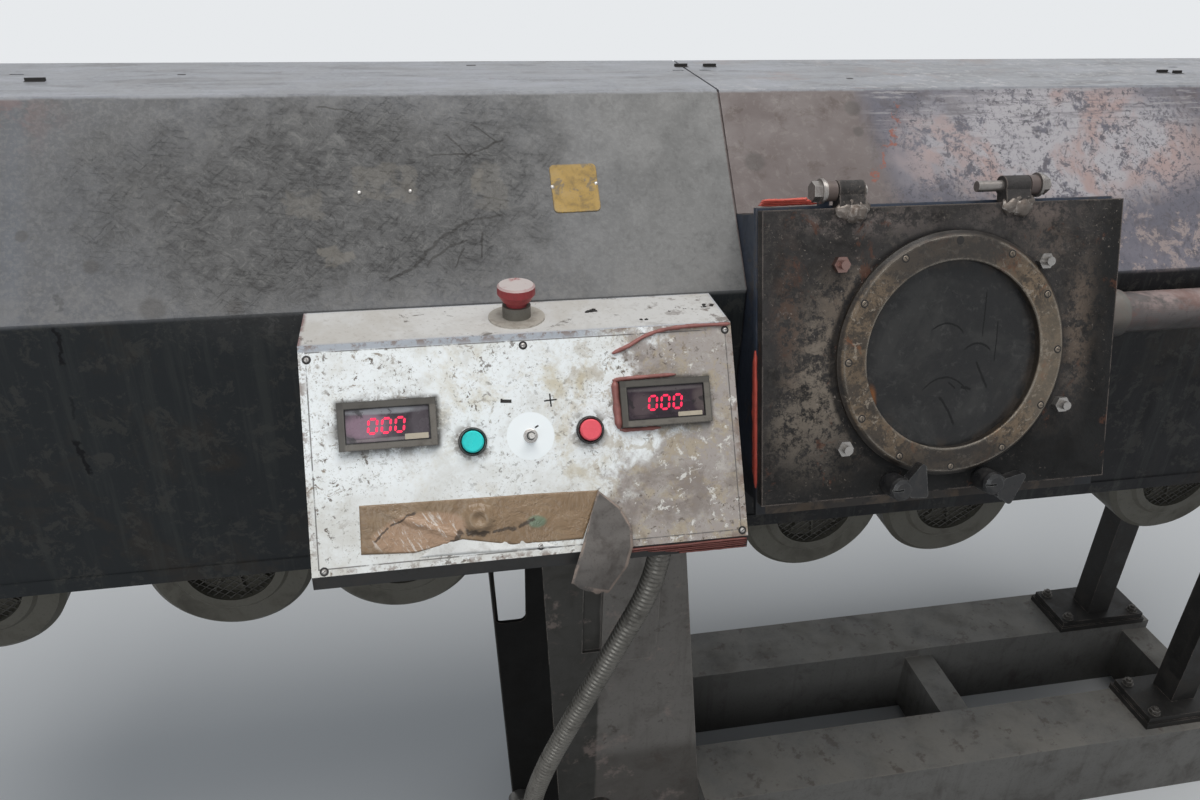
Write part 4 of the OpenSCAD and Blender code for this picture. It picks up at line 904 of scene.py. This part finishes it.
def estop_red():
    p = worn("estop_red", (0.32, 0.045, 0.05), (0.1, 0.04, 0.04), 0.4, 0.1, 0.3, 0.0, rough=0.5, scale=3)
    faded = p.rag(60, 0.3, 0.5, 6, 0.7, 0)
    p.lay((0.54, 0.49, 0.475), p.facing((0, 0, 1), 0.3, 0.95), faded, 0.95)
    return p.done(0.0004, 0.4)


def gland_metal():
    dirt, wear = (0.07, 0.06, 0.05), (0.4, 0.38, 0.35)
    return plain("gland_metal", (0.14, 0.135, 0.125), 0.6, 0.42, dirt, 0.5, 0.3, 0.0, scale=3, wear=wear)


def dress_nodes():
    """Gives every node of the frame its finish."""
    zones = range(1, 7)
    put_on(left_hood(), "guard_left", "guard_end_left")
    put_on(right_hood(), "guard_right", "guard_end_right", "guard_rib")
    put_on(console_paint(), "console_case")
    put_on(plate_white(), "console_plate")
    put_on(box_steel(), "vent_box", "vent_throat")
    put_on(door_scale(), "hatch_door")
    put_on(ring_steel(), "sight_ring")
    put_on(sight_pane(), "sight_glass")
    put_on(stud_steel(), "hatch_studs")
    put_on(pin_steel(), "hinge_pins")
    put_on(knob_black(), "left_knob", "right_knob")
    put_on(pipe_steel(), "vacuum_pipe")
    put_on(pedestal_paint(), "pedestal")
    put_on(column_black(), "cable_column")
    put_on(beam_paint(), "base_frame")
    put_on(leg_black(), "leg_front", "leg_rear")
    put_on(saddle_paint(), "mid_saddle", "end_saddle")
    put_on(barrel_steel(), "barrel", "feed_flange", "die_flange")
    put_on(screw_steel(), "screw")
    put_on(jacket_sheet(), *[f"jacket_{i}" for i in zones])
    put_on(blower_olive(), *[f"blower_{i}" for i in zones])
    put_on(meter_case(), "panel_meters")
    put_on(bezel_black(), "button_bezels")
    put_on(button_green(), "green_button")
    put_on(button_red(), "red_button")
    put_on(shaft_steel(), "speed_shaft")
    put_on(collar_grey(), "estop_collar")
    put_on(estop_red(), "estop_head")
    put_on(gland_metal(), "conduit_glands")


# Conduit: a corrugated hose, held at both ends
CORD_ROUTE = (
    (-112, -380, 912),
    (-112, -380, 886),
    (-116, -379, 836),
    (-129, -376, 784),
    (-149, -371, 731),
    (-182, -362, 644),
    (-214, -351, 557),
    (-242, -338, 470),
    (-258, -321, 388),
    (-262, -306, 306),
    (-262, -306, 226),
)
BEND_RADIUS = 0.13
BEND_CENTRE = Vector((-0.262, -0.176, 0.306))
CORD_END = Vector((-0.262, -0.154, 0.176))
RIB_PITCH = 0.0065
# Share of a rib's pitch and the hose's radius there, in metres
RIB_SHAPE = ((0.0, 0.0122), (0.22, 0.0126), (0.38, 0.014), (0.72, 0.014), (0.88, 0.0126))


def cord_line():
    """The hose's middle line: down by the route, then a quarter turn into the column's side."""
    line = curve_through([Vector(q) / 1000 for q in CORD_ROUTE], 8)[:-9]
    for k in range(19):
        a = math.radians(5 * k)
        line.append(BEND_CENTRE - Vector((0, math.cos(a), math.sin(a))) * BEND_RADIUS)
    return line + [CORD_END]


def add_conduit():
    line = cord_line()
    steps = [0.0]
    for a, b in zip(line, line[1:]):
        steps.append(steps[-1] + (b - a).length)
    cord_long = steps[-1]

    def at_length(s):
        for i in range(len(line) - 1):
            if s <= steps[i + 1]:
                return line[i].lerp(line[i + 1], (s - steps[i]) / (steps[i + 1] - steps[i]))
        return line[-1]

    ribs = round(cord_long / RIB_PITCH)
    path = [at_length(cord_long * (i + share) / ribs) for i in range(ribs) for share, _ in RIB_SHAPE]
    path.append(line[-1])
    radii = [r for _, r in RIB_SHAPE] * ribs + [RIB_SHAPE[0][1]]
    hose = Lump()
    hose.tube(path, radii, 20)
    metal = plain(
        "conduit_metal", (0.155, 0.145, 0.128), 0.45, 0.46, (0.045, 0.04, 0.034), 0.65, 0.4, 0.0, scale=2,
    )
    conduit = hose.done("conduit_hose", metal, "machine", True)
    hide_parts("conduit")
    tuple(line[0])
    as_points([tuple(q) for q in path[::3]] + [tuple(path[-1])])


# Console: displays, screws, marks, tape and sealant
# Centre, half sizes, colour and strength of each faint painted reflection of light and each smear in the
# windows
WINDOW_SMEARS_AND_REFLECTIONS = (
    (62, -84, 22, 14, (0.29, 0.185, 0.24), 0.75),
    (82, -69.5, 40, 3.2, (0.3, 0.31, 0.33), 0.75),
    (82, -97.5, 40, 1.8, (0.25, 0.215, 0.215), 0.6),
    (114, -80, 10, 16, (0.085, 0.07, 0.08), 0.6),
    (340, -82, 13, 12, (0.12, 0.085, 0.09), 0.6),
    (404, -80, 9, 13, (0.13, 0.1, 0.095), 0.6),
    (366, -66.5, 38, 2.2, (0.15, 0.13, 0.13), 0.6),
)
# The two ends of each lit segment of a nought, in millimetres
NOUGHT = (
    ((0.9, 14), (7.3, 14)),
    ((8.2, 13.3), (8.2, 7.6)),
    ((8.2, 6.4), (8.2, 0.7)),
    ((0.9, 0), (7.3, 0)),
    ((0, 6.4), (0, 0.7)),
    ((0, 13.3), (0, 7.6)),
)
DIGIT_PITCH = 13.2
DIGIT_LEAN = 0.12
# How far the meters' window frames and panes stand out of the plate
FRAME_OUT = 6.2
PANE_OUT = 6.7


def window_dark():
    p = worn("window_dark", (0.026, 0.014, 0.022), (0.05, 0.04, 0.045), 0.5, 0.1, 0.1, 0.0, 0.0, 0.22, 4)
    for x, y, w, h, colour, k in WINDOW_SMEARS_AND_REFLECTIONS:
        # Painted reflections on the panes where the patches are light, and smears where they are dark
        p.lay(colour, p.blot(PLATE, x, y, w, h, 0.35, 0.35, 60, deep=30), k)
    p.lay((0.01, 0.008, 0.009), p.rag(60, 0.58, 0.62), 0.7)
    return p.done(0.0001, 0.3)


def digit_red():
    mat = bpy.data.materials.new("digit_red")
    mat.use_nodes = True
    glow = mat.node_tree.nodes["Principled BSDF"]
    glow.inputs["Base Color"].default_value = (0.9, 0.02, 0.07, 1)
    glow.inputs["Emission Color"].default_value = (1.0, 0.015, 0.09, 1)
    glow.inputs["Emission Strength"].default_value = 0.75
    glow.inputs["Roughness"].default_value = 0.4
    return mat


def noughts(lump, x, y, out):
    """Three seven-segment noughts on the plate, from the lower left corner of the first."""
    for i in range(3):
        for start, end in NOUGHT:
            a, b = Vector(start), Vector(end)
            d = (b - a).normalized()
            tip, side = d * 1.1, Vector((-d.y, d.x)) * 1.15
            outline = (a, a + tip + side, b - tip + side, b, b - tip - side, a + tip - side)
            verts = [
                PLATE.at(x + DIGIT_PITCH * i + q.x + DIGIT_LEAN * q.y, y + q.y, height)
                for height in (out, out + 0.25)
                for q in outline
            ]
            lump.add(verts, skin(2, 6))


def add_displays():
    windows, numbers, tabs = Lump(), Lump(), Lump()
    for x, y in METERS:
        windows.box(PLATE.spot(x, y), (7.6, -40.4, 5.0), (88.4, -7.6, FRAME_OUT))
        windows.box(PLATE.spot(x, y), (12, -36.5, FRAME_OUT), (84, -11.5, PANE_OUT))
    noughts(numbers, 62.5, -91, PANE_OUT)
    noughts(numbers, 347, -87.5, PANE_OUT)
    windows.done("display_windows", window_dark(), "machine")
    numbers.done("display_digits", digit_red(), "machine")
    tabs.box(PLATE.spot(34, -59), (64, -40.2, FRAME_OUT), (87, -34.6, 6.95))
    tabs.box(PLATE.spot(318, -56), (60, -40.2, FRAME_OUT), (86, -35.6, 6.95))
    cream = plain("tab_cream", (0.46, 0.4, 0.31), 0.0, 0.5, (0.2, 0.17, 0.13), scale=4)
    tabs.done("display_tabs", cream, "machine")


def add_plate_screws(steel, dark):
    """The plate's screws with their slots, the shaft's nut, and the marks painted beside them."""
    heads, marks = Lump(), Lump()
    for x, y in ((8, -14), (222, -12), (438, -8), (12, -222), (225, -217), (439, -221)):
        # The dark disc under each screw and the dark bar across its head are painted shade: the gap round the
        # head and the slot
        marks.lathe(PLATE.spot(x, y), [(4.4, 0), (4.4, 0.25), (3.2, 0.35)], 20)
        heads.lathe(PLATE.spot(x, y), [(2.5, 0.2), (2.5, 0.9), (1.9, 1.5), (0.9, 1.75)], 16)
        marks.box(PLATE.spot(x, y, 1.5, rng.uniform(0, 90)), (-2.0, -0.35, 0), (2.0, 0.35, 0.32))
    shaft = PLATE.spot(223, -105)
    heads.lathe(shaft, [(7.4, 0.1), (7.4, 0.5), (6.6, 0.9)], 24)
    heads.lathe(shaft, [(5.6, 0.9), (6.3, 1.4), (6.3, 3.6), (5.6, 4.0)], 6, 0.3)
    heads.done("plate_screws", steel, "machine")
    minus, plus = PLATE.spot(200.5, -68, 0, -4), PLATE.spot(246, -70, 0, 3)
    marks.box(minus, (-5.6, -1.7, 0), (5.6, 1.7, 0.14))
    marks.box(minus, (-5.6, -1.7, 0), (-3.6, 2.6, 0.14))
    marks.box(plus, (-6.6, -0.75, 0), (6.6, 0.75, 0.14))
    marks.box(plus, (-0.75, -6.8, 0), (0.75, 6.8, 0.14))
    marks.box(PLATE.spot(230, -96, 0, 30), (-2.2, -0.8, 0), (2.0, 0.9, 0.14))
    marks.done("plate_marks", dark, "machine")


# Two ends and half width of each crease in the tape, painted dark as the crease's shadow
TAPE_CREASE_SHADOWS = (
    ((135, -206), (150, -198), 2.2),
    ((150, -198), (176, -198), 2.4),
    ((176, -198), (203, -196), 2.0),
    ((203, -196), (222, -190), 1.6),
    ((61, -199), (76, -184), 1.0),
    ((76, -184), (104, -171), 1.0),
)
# Upper and lower edges of the tape and of the paper bared under it, and the sides of the end that hangs
TAPE_TOP = ((49, -161), (100, -162), (157, -163), (226, -164), (289, -166))
TAPE_FOOT = ((48, -209), (100, -212), (147, -203), (196, -213), (269, -214))
TEAR_TOP = ((118, -207), (150, -199), (196, -207), (230, -213))
TEAR_FOOT = ((105, -217), (150, -218), (196, -219), (240, -219))
LOOSE_LEFT = (
    (278, -191, 2.5), (273, -205, 4), (267, -220, 6), (262, -232, 9), (257, -244, 11), (253, -258, 9),
)
LOOSE_RIGHT = (
    (288, -166, 1.0), (309, -185, 2.5), (320, -206, 4), (319, -226, 7), (312, -246, 9), (292, -272, 7),
)


# Height of the plate's lower edge
PLATE_FOOT = -227


def tape_brown():
    p = worn("tape_brown", (0.245, 0.165, 0.098), (0.14, 0.09, 0.05), 0.5, 0.15, 0.2, 0.0, rough=0.34)
    p.lay((0.33, 0.245, 0.16), p.rag(30, 0.48, 0.62, 5), 0.45)
    under = p.blot(PLATE, 106, -193, 47, 19, 0.1, 0.2, 22, deep=30, turn=-4)
    p.lay((0.4, 0.26, 0.17), under, 0.85)
    streaks = p.place(size=(0.03, 0.005, 0.005), lean=PLATE.lean, turn=60)
    p.lay((0.7, 0.64, 0.58), under, p.rag(1, 0.56, 0.62, 6, 0.72, 0.5, streaks), 0.8)
    p.lay((0.12, 0.23, 0.16), p.blot(PLATE, 223, -192, 9, 6, 0.3, 0.4, 60, deep=30), 0.65)
    for a, b, half in TAPE_CREASE_SHADOWS:
        # Painted shadow along each crease
        p.lay((0.04, 0.027, 0.018), p.stroke(PLATE, a, b, half * 1.5, 0.0, 0.8), 0.85)
    p.bumps(p.mul(p.rag(38, 0.3, 0.7, 4), 2.0))
    return p.done(0.0009, 0.7)


def hump(distance, width):
    return math.exp(-((distance / width) ** 2))


def tape_rise(x, y):
    """How far the tape stands out: ripples, a blister with a ring around it, a crease and a knob."""
    r = 0.5 + 0.5 * abs(wave.noise((x / 9, y / 7, 0.3))) + 0.8 * max(0, wave.noise((x / 26, y / 14, 5.1)))
    blister = math.hypot(x - 165, (y + 184) * 1.1)
    r += 5.5 * hump(blister - 9, 5.5) + 1.2 * hump(blister, 5)
    r += 3.2 * hump((x - 120) * 0.42 + (y + 190), 4) * max(0, 1 - abs(x - 110) / 55)
    return r + 1.6 * hump(math.hypot((x - 224) / 1.6, y + 192), 7)


def tear_rise(x, y):
    return 0.4 + 0.5 * abs(wave.noise((x / 6, y / 5, 2.0)))


def stuck_sheet(top, foot, cols, rows, rise):
    """A thin sheet that sticks to the plate between two lines of points; rise says how far it stands out."""

    def place(i, j, upper):
        q = along(top, i / cols).lerp(along(foot, i / cols), j / rows)
        out = rise(q.x, q.y)
        if min(i, cols - i, j, rows - j) == 0:
            out = 0.25 + 0.3 * out
        return PLATE.at(q.x, q.y, out if upper else max(0.02, out - 0.5))

    return sheet(cols, rows, place)


def hanging_sheet(cols, rows):
    """The loose end of the tape, which curls away from the plate and hangs over its lower edge."""

    def place(i, j, upper):
        t = i / cols
        q = along(LOOSE_LEFT, j / rows).lerp(along(LOOSE_RIGHT, j / rows), t)
        if j == rows:
            q.y += 3.2 * wave.noise((i / 2.1, 0, 3)) - 4 * math.sin(math.pi * t)
        wavy = 1.6 * wave.noise((q.x / 16, q.y / 13, 1.2)) + 2.5 * math.sin(math.pi * t) * j / rows
        fall = max(0.0, PLATE_FOOT - q.y) * 0.25
        return PLATE.at(q.x, q.y, q.z + wavy - fall + (0.35 if upper else -0.35))

    return sheet(cols, rows, place)


def add_tape():
    strip, tear, flap = Lump(), Lump(), Lump()
    strip.add(*stuck_sheet(TAPE_TOP, TAPE_FOOT, 110, 26, tape_rise))
    strip.done("tape_strip", tape_brown(), "machine", True)
    tear.add(*stuck_sheet(TEAR_TOP, TEAR_FOOT, 26, 6, tear_rise))
    paper = plain("tape_paper", (0.74, 0.74, 0.72), 0.0, 0.5, (0.3, 0.27, 0.22), 0.5, scale=3)
    tear.done("tape_tear", paper, "machine", True)
    flap.add(*hanging_sheet(14, 40))
    grey = plain(
        "flap_grey", (0.112, 0.101, 0.093), 0.0, 0.65, (0.048, 0.04, 0.035), 0.6, 0.4, 0.3,
        wear=(0.32, 0.25, 0.21), scale=2, bump=0.0012,
    )
    flap.done("tape_loose_end", grey, "machine", True)


# Points of the beads of sealant on the plate, in millimetres
PLATE_BEAD = ((314, -26), (332, -19), (350, -10), (370, -4.5), (400, -2), (430, -2), (444, -2))
DISPLAY_SIDE = ((314, -55), (314.5, -70), (315, -90), (315.5, -105))
DISPLAY_TOP = ((312, -54), (330, -53), (352, -52.5), (380, -52))
DISPLAY_FOOT = ((316, -106), (335, -106.5), (360, -106.5))
# How far behind the door's front, x, upper end, lower end and radius of the beads beside the door
BOX_BEADS = (
    (20.5, -9.3, 1098, 948, 3.6),
    (27.0, -8.0, 1090, 952, 4.5),
    (34.0, -5.0, 1078, 950, 5.0),
    (42.0, -2.0, 1050, 956, 5.0),
)


def box_bead_line(behind, x, high, low, r):
    """Points down the flange's edge, behind the leaning door."""
    points = []
    for k in range(7):
        z = high + (low - high) * k / 6
        front = -318 - (1249 - z) * math.tan(math.radians(HATCH.lean))
        points.append(Vector((x, front + behind + 1.5 * wave.noise((k * 0.7, r, behind)), z)) / 1000)
    return points


def add_sealants():
    # The box's beads sit in shade, so their red is brightened: painted light
    red = plain(
        "sealant_lit_red", (0.52, 0.085, 0.06), 0.0, 0.4, (0.2, 0.04, 0.033), 0.5, 0.3,
        scale=3, bump=0.0006,
    )
    dull = plain(
        "sealant_dull", (0.285, 0.112, 0.098), 0.0, 0.5, (0.12, 0.055, 0.047), 0.55, 0.35,
        scale=3, bump=0.0006,
    )
    shaded = plain("sealant_shade", (0.165, 0.05, 0.04), 0.0, 0.45, (0.05, 0.02, 0.017), 0.6, 0.35, scale=3)
    plate, display, lip, box = Lump(), Lump(), Lump(), Lump()
    plate.bead([PLATE.at(x, y, 0.9) for x, y in PLATE_BEAD], 2.6, 0.8)
    plate.done("plate_sealant", dull, "machine", True)
    display.bead([PLATE.at(x, y, 1.2) for x, y in DISPLAY_SIDE], 4.6, 0.9, 0.05)
    display.bead([PLATE.at(x, y, 1.0) for x, y in DISPLAY_TOP], 2.4, 0.9)
    display.bead([PLATE.at(x, y, 0.8) for x, y in DISPLAY_FOOT], 2.2, 0.9)
    display.done("display_sealant", dull, "machine", True)
    for k in range(5):
        y = -3.2 - 2.5 * k + rng.uniform(-0.6, 0.6)
        start = 300 + 16 * k + rng.uniform(-10, 10)
        xs = (start, start + 30, 370, 400, 425, 444)
        line = [CONSOLE_LIP.at(x, y + 0.8 * wave.noise((x / 20, k, 0)), 0.2) for x in xs]
        lip.bead(line, 2.1, 0.55, 0.1, 3)
    lip.done("lip_sealant", shaded, "machine", True)
    for behind, x, high, low, r in BOX_BEADS:
        box.bead(box_bead_line(behind, x, high, low, r), r, 0.6, 0.12, 4)
    for k in range(4):
        xs = (0, 22, 45, 66 - 5 * k)
        line = [HATCH.at(x, 5.5 + 1.6 * k + 1.2 * wave.noise((x / 14, k, 2)), -12 + 3 * k) for x in xs]
        box.bead(line, 2.2, 0.7, 0.15, 3)
    box.done("box_sealant", red, "machine", True)


# Vent: ring screws, one of them lost, and the weld lumps at the hinge lugs
RING_CENTRE = (224, -167)
SCREW_CIRCLE = 128
LOST_SCREW = 3
LUG_X = (100, 296)
WELD_LUMPS = ((-8, -4, 2, 11), (4, -6, 3, 12), (12, 0, 1, 9), (-2, 4, 0, 9), (8, -11, 1, 6))


def add_ring_screws(dark):
    screws, seats = Lump(), Lump()
    for k in range(12):
        a = math.radians(30 * k)
        x = RING_CENTRE[0] + SCREW_CIRCLE * math.cos(a)
        y = RING_CENTRE[1] + SCREW_CIRCLE * math.sin(a)
        # Each screw sits on a dark disc and has a dark bar across its head: painted shade of the gap round
        # the head and of the slot; where the screw is lost, the disc is the painted shade of its hole
        seats.lathe(HATCH.spot(x, y, 9.9), [(4.6, 0), (4.6, 0.18), (3.6, 0.22)], 18)
        if k != LOST_SCREW:
            screws.lathe(HATCH.spot(x, y, 9.9), [(3.1, 0.1), (3.1, 0.5), (2.5, 0.95), (1.2, 1.05)], 16)
            seats.box(HATCH.spot(x, y, 10.8, rng.uniform(0, 180)), (-2.4, -0.4, 0), (2.4, 0.4, 0.22))
    seats.done("ring_screw_seats", dark, "hatch")
    rusty = plain(
        "rusty_screw", (0.2, 0.165, 0.13), 0.6, 0.45, (0.07, 0.05, 0.035), 0.6, 0.3, 0.0,
        scale=5, wear=(0.42, 0.38, 0.33), wear_r=0.0006,
    )
    screws.done("ring_screws", rusty, "hatch")


def add_welds():
    welds = Lump()
    for x in LUG_X:
        for dx, dy, out, r in WELD_LUMPS:
            welds.blob(HATCH, x + dx, dy, out, (r, r * 0.85, r * 0.55), 0.2, 3)
    metal = plain(
        "weld_metal", (0.15, 0.128, 0.112), 0.5, 0.45, (0.06, 0.038, 0.028), 0.65, 0.4,
        scale=3, bump=0.0012, strength=0.7, wear=(0.42, 0.39, 0.36),
    )
    welds.done("lug_welds", metal, "hatch", True)


# Blowers: crossed wires over each inlet, in metres
BLOWER_X = (-0.963, -0.646, -0.421, 0.19, 0.417, 0.815)
BLOWER_Z = 0.73
INLET_Y = -0.1525
MESH_RADIUS = 0.0605
WIRE_RADIUS = 0.00075
WIRE_ANGLE = 0.62
WIRE_STEP = 0.0086


def add_inlet_meshes():
    wire = plain("mesh_wire", (0.055, 0.052, 0.047), 0.3, 0.55, (0.025, 0.022, 0.018), 0.5, 0.3, 0.0, scale=4)
    for n, blower_x in enumerate(BLOWER_X, 1):
        wires = Lump()
        for sign in (1, -1):
            d = Vector((math.cos(WIRE_ANGLE), 0, sign * math.sin(WIRE_ANGLE)))
            across = Vector((-d.z, 0, d.x))
            centre = Vector((blower_x, INLET_Y - 0.0006 * sign, BLOWER_Z))
            k = -int(MESH_RADIUS / WIRE_STEP)
            while k * WIRE_STEP < MESH_RADIUS:
                off = k * WIRE_STEP
                half = math.sqrt(MESH_RADIUS ** 2 - off ** 2)
                if half > 0.004:
                    mid = centre + across * off
                    wires.tube([mid - d * half, mid, mid + d * half], WIRE_RADIUS, 5)
                k += 1
        wires.done(f"inlet_mesh_{n}", wire, "machine")


# Hood: the bare plate, rivets and slots
def yellow_paint():
    p = worn("plate_yellow", (0.33, 0.208, 0.048), (0.16, 0.12, 0.07), 0.65, 0.18, 0.45, 0.2, 0.0, 0.5, 3)
    p.lay((0.15, 0.125, 0.09), p.rag(60, 0.54, 0.6), 0.75)
    p.lay((0.16, 0.135, 0.105), p.edges(0.003, 0.02, 0.15), p.rag(50, 0.36, 0.5), 0.85)
    return p.done(0.0004, 0.5)


def add_bare_plate():
    """A bare plate with round corners and a small bevel."""
    outline = []
    for x, y, first in ((21.5, 24, 0), (-21.5, 24, 90), (-21.5, -24, 180), (21.5, -24, 270)):
        for t in (0, 22.5, 45, 67.5, 90):
            a = math.radians(first + t)
            outline.append((x + 5.5 * math.cos(a), y + 5.5 * math.sin(a)))
    m = SLOPE.spot(-187, 132, 0, 1)
    layers = ((0, 1), (0.8, 1), (1.1, 0.985))
    verts = [m @ (Vector((x * k, y * k, z)) / 1000) for z, k in layers for x, y in outline]
    plate = Lump()
    plate.add(verts, skin(len(layers), len(outline)))
    plate.done("bare_plate", yellow_paint(), "machine")


def add_hood_fittings(steel, dark):
    rivets, slots = Lump(), Lump()
    for x, y in ((-372, 134), (-427, 134), (-213, 134), (-162, 137)):
        rivets.lathe(SLOPE.spot(x, y), [(2.6, 0), (2.6, 0.5), (2.1, 1.3), (1.1, 1.8)], 16)
    rivets.done("hood_rivets", steel, "machine", True)
    for x, y, w, h, turn in (
        (-783, 88, 22, 9, 4),
        (-2, 159, 18, 9, 0),
        (38, 158, 18, 9, 0),
        (686, 89, 17, 9, 0),
        (705, 83, 14, 8, 0),
        (-632, 124, 9, 5, 0),
        (-283, 178, 12, 5, 0),
        (199, 64, 8, 6, 0),
    ):
        m = HOOD_TOP.spot(x, y, 0, turn)
        # Each slot is a thin dark box on the hood top, with a dark wall at one side: painted shade of the
        # opening
        slots.box(m, (-w / 2, -h / 2, 0), (w / 2, h / 2, 0.3))
        if w > 12:
            slots.box(m, (-w / 2, h / 2 - 2.5, 0), (w / 2, h / 2, 3.5))
    slots.done("hood_slots", dark, "machine")


# Legs: hexagon bolts on the two foot plates, in metres
FOOT_X = 1.031
FOOT_Y = 0.134
FOOT_TOP = 0.184
BOLT_X = 0.078
BOLT_Y = 0.038


def add_foot_bolts():
    bolts = Lump()
    for side in (-1, 1):
        for x in (-BOLT_X, BOLT_X):
            for y in (-BOLT_Y, BOLT_Y):
                seat = Matrix.Translation(Vector((FOOT_X + x, side * FOOT_Y + y, FOOT_TOP)))
                m = seat @ Matrix.Rotation(rng.uniform(0, 1), 4, "Z")
                bolts.lathe(m, [(11, 0), (11, 1.8), (10, 2.2)], 24)
                bolts.lathe(m, [(8.4, 2.2), (9.2, 3), (9.2, 8.4), (8.2, 9.2)], 6)
                bolts.lathe(m, [(4.6, 9.0), (4.6, 13), (3.8, 13.8)], 16)
    steel = plain("bolt_steel", (0.1, 0.092, 0.083), 0.4, 0.5, (0.04, 0.034, 0.03), 0.6, 0.35, 0.0, scale=3)
    bolts.done("foot_bolts", steel, "machine")


# Console top: middle, spread, number and size of each heap of crumbs
CRUMB_HEAPS = ((304, 48, 6, 9, 2.2), (355, 17, 4, 4, 1.6), (432, 46, 9, 9, 1.6), (400, 40, 14, 6, 1.0))


def add_crumbs(dark):
    crumbs = Lump()
    for cx, cy, spread, many, size in CRUMB_HEAPS:
        for _ in range(many):
            r = rng.uniform(0.5, 1.0) * size
            x = cx + rng.uniform(-1, 1) * spread
            y = cy + rng.uniform(-1, 1) * spread * 0.5
            crumbs.blob(CONSOLE_TOP, x, y, r * 0.25, (r * 1.5, r, r * 0.7), 0.4, 1)
    crumbs.done("dirt_crumbs", dark, "machine", True)


def add_small_pieces():
    """What the solids leave out; the order matters, because the pieces share one row of random draws."""
    steel = plain("small_steel", (0.45, 0.43, 0.41), 0.8, 0.36, (0.1, 0.08, 0.07), 0.55, 0.3, 0.0, scale=5)
    # dark_recess is the own colour of the printed marks and the crumbs, and painted shade in the slots, screw
    # slots and screw seats
    dark = plain("dark_recess", (0.018, 0.016, 0.015), 0.0, 0.6, (0.05, 0.045, 0.04), scale=4)
    add_conduit()
    add_displays()
    add_plate_screws(steel, dark)
    add_tape()
    add_sealants()
    add_ring_screws(dark)
    add_welds()
    add_inlet_meshes()
    add_bare_plate()
    add_hood_fittings(steel, dark)
    add_foot_bolts()
    add_crumbs(dark)


# Studio
PALE = (0.8, 0.82, 0.84, 1)
FLOOR_HALF = 14
FLOOR_Z = -0.0005


def seen_directly(tree):
    """1 for what the camera, a mirror or a pane shows; 0 for light on the object."""
    ray = tree.nodes.new("ShaderNodeLightPath")
    out = ray.outputs["Is Camera Ray"]
    for name in ("Is Glossy Ray", "Is Transmission Ray"):
        more = tree.nodes.new("ShaderNodeMath")
        more.operation = "MAXIMUM"
        tree.links.new(out, more.inputs[0])
        tree.links.new(ray.outputs[name], more.inputs[1])
        out = more.outputs[0]
    return out


def add_floor():
    """A grey floor that is shown pale, and fades into the backdrop far out."""
    p = Paint("studio_floor")
    far = p.node("ShaderNodeVectorMath", operation="LENGTH")
    p.put(far.inputs[0], p.at)
    seen = seen_directly(p.tree)
    p.colour = (0.26, 0.26, 0.26)
    p.lay((0.74, 0.755, 0.77), seen)
    ground = p.node("ShaderNodeBsdfDiffuse")
    haze = p.node("ShaderNodeEmission")
    join = p.node("ShaderNodeMixShader")
    p.put(ground.inputs["Color"], p.colour)
    p.put(haze.inputs["Color"], PALE[:3])
    p.put(join.inputs[0], p.mul(seen, p.ramp(far.outputs["Value"], 1.5, 4.2)))
    p.put(join.inputs[1], ground.outputs[0])
    p.put(join.inputs[2], haze.outputs[0])
    p.put(p.tree.nodes["Material Output"].inputs["Surface"], join.outputs[0])
    floor = Lump()
    corners = ((-1, -1), (1, -1), (1, 1), (-1, 1))
    floor.add([(x * FLOOR_HALF, y * FLOOR_HALF, FLOOR_Z) for x, y in corners], [[0, 1, 2, 3]])
    floor.done("floor", p.mat, None)


def add_world():
    world = bpy.data.worlds.new("studio")
    scene.world = world
    world.use_nodes = True
    tree = world.node_tree
    shown = tree.nodes["Background"]
    light = tree.nodes.new("ShaderNodeBackground")
    blend = tree.nodes.new("ShaderNodeMixShader")
    shown.inputs[0].default_value = PALE
    light.inputs[0].default_value = (0.88, 0.94, 1.0, 1)
    light.inputs[1].default_value = 0.24
    tree.links.new(seen_directly(tree), blend.inputs[0])
    tree.links.new(light.outputs[0], blend.inputs[1])
    tree.links.new(shown.outputs[0], blend.inputs[2])
    tree.links.new(blend.outputs[0], tree.nodes["World Output"].inputs[0])


def add_lamp(name, at, to, size, power, colour):
    light = bpy.data.lights.new(name, "AREA")
    light.shape = "RECTANGLE"
    light.size, light.size_y = size
    light.energy = power
    light.color = colour
    o = bpy.data.objects.new(name, light)
    bpy.context.collection.objects.link(o)
    o.location = at
    o.rotation_mode = "QUATERNION"
    o.rotation_quaternion = (Vector(to) - Vector(at)).to_track_quat("-Z", "Y")


add_camera()
dress_nodes()
add_small_pieces()
add_floor()
add_world()
add_lamp("key", (0.2, -0.9, 5.2), (0, -0.05, 0.9), (4.0, 2.6), 150, (1.0, 0.985, 0.96))
add_lamp("fill", (-1.6, -3.8, 2.4), (0, 0, 0.8), (2.4, 2.0), 42, (0.92, 0.96, 1.0))
scene.view_settings.view_transform = "Standard"
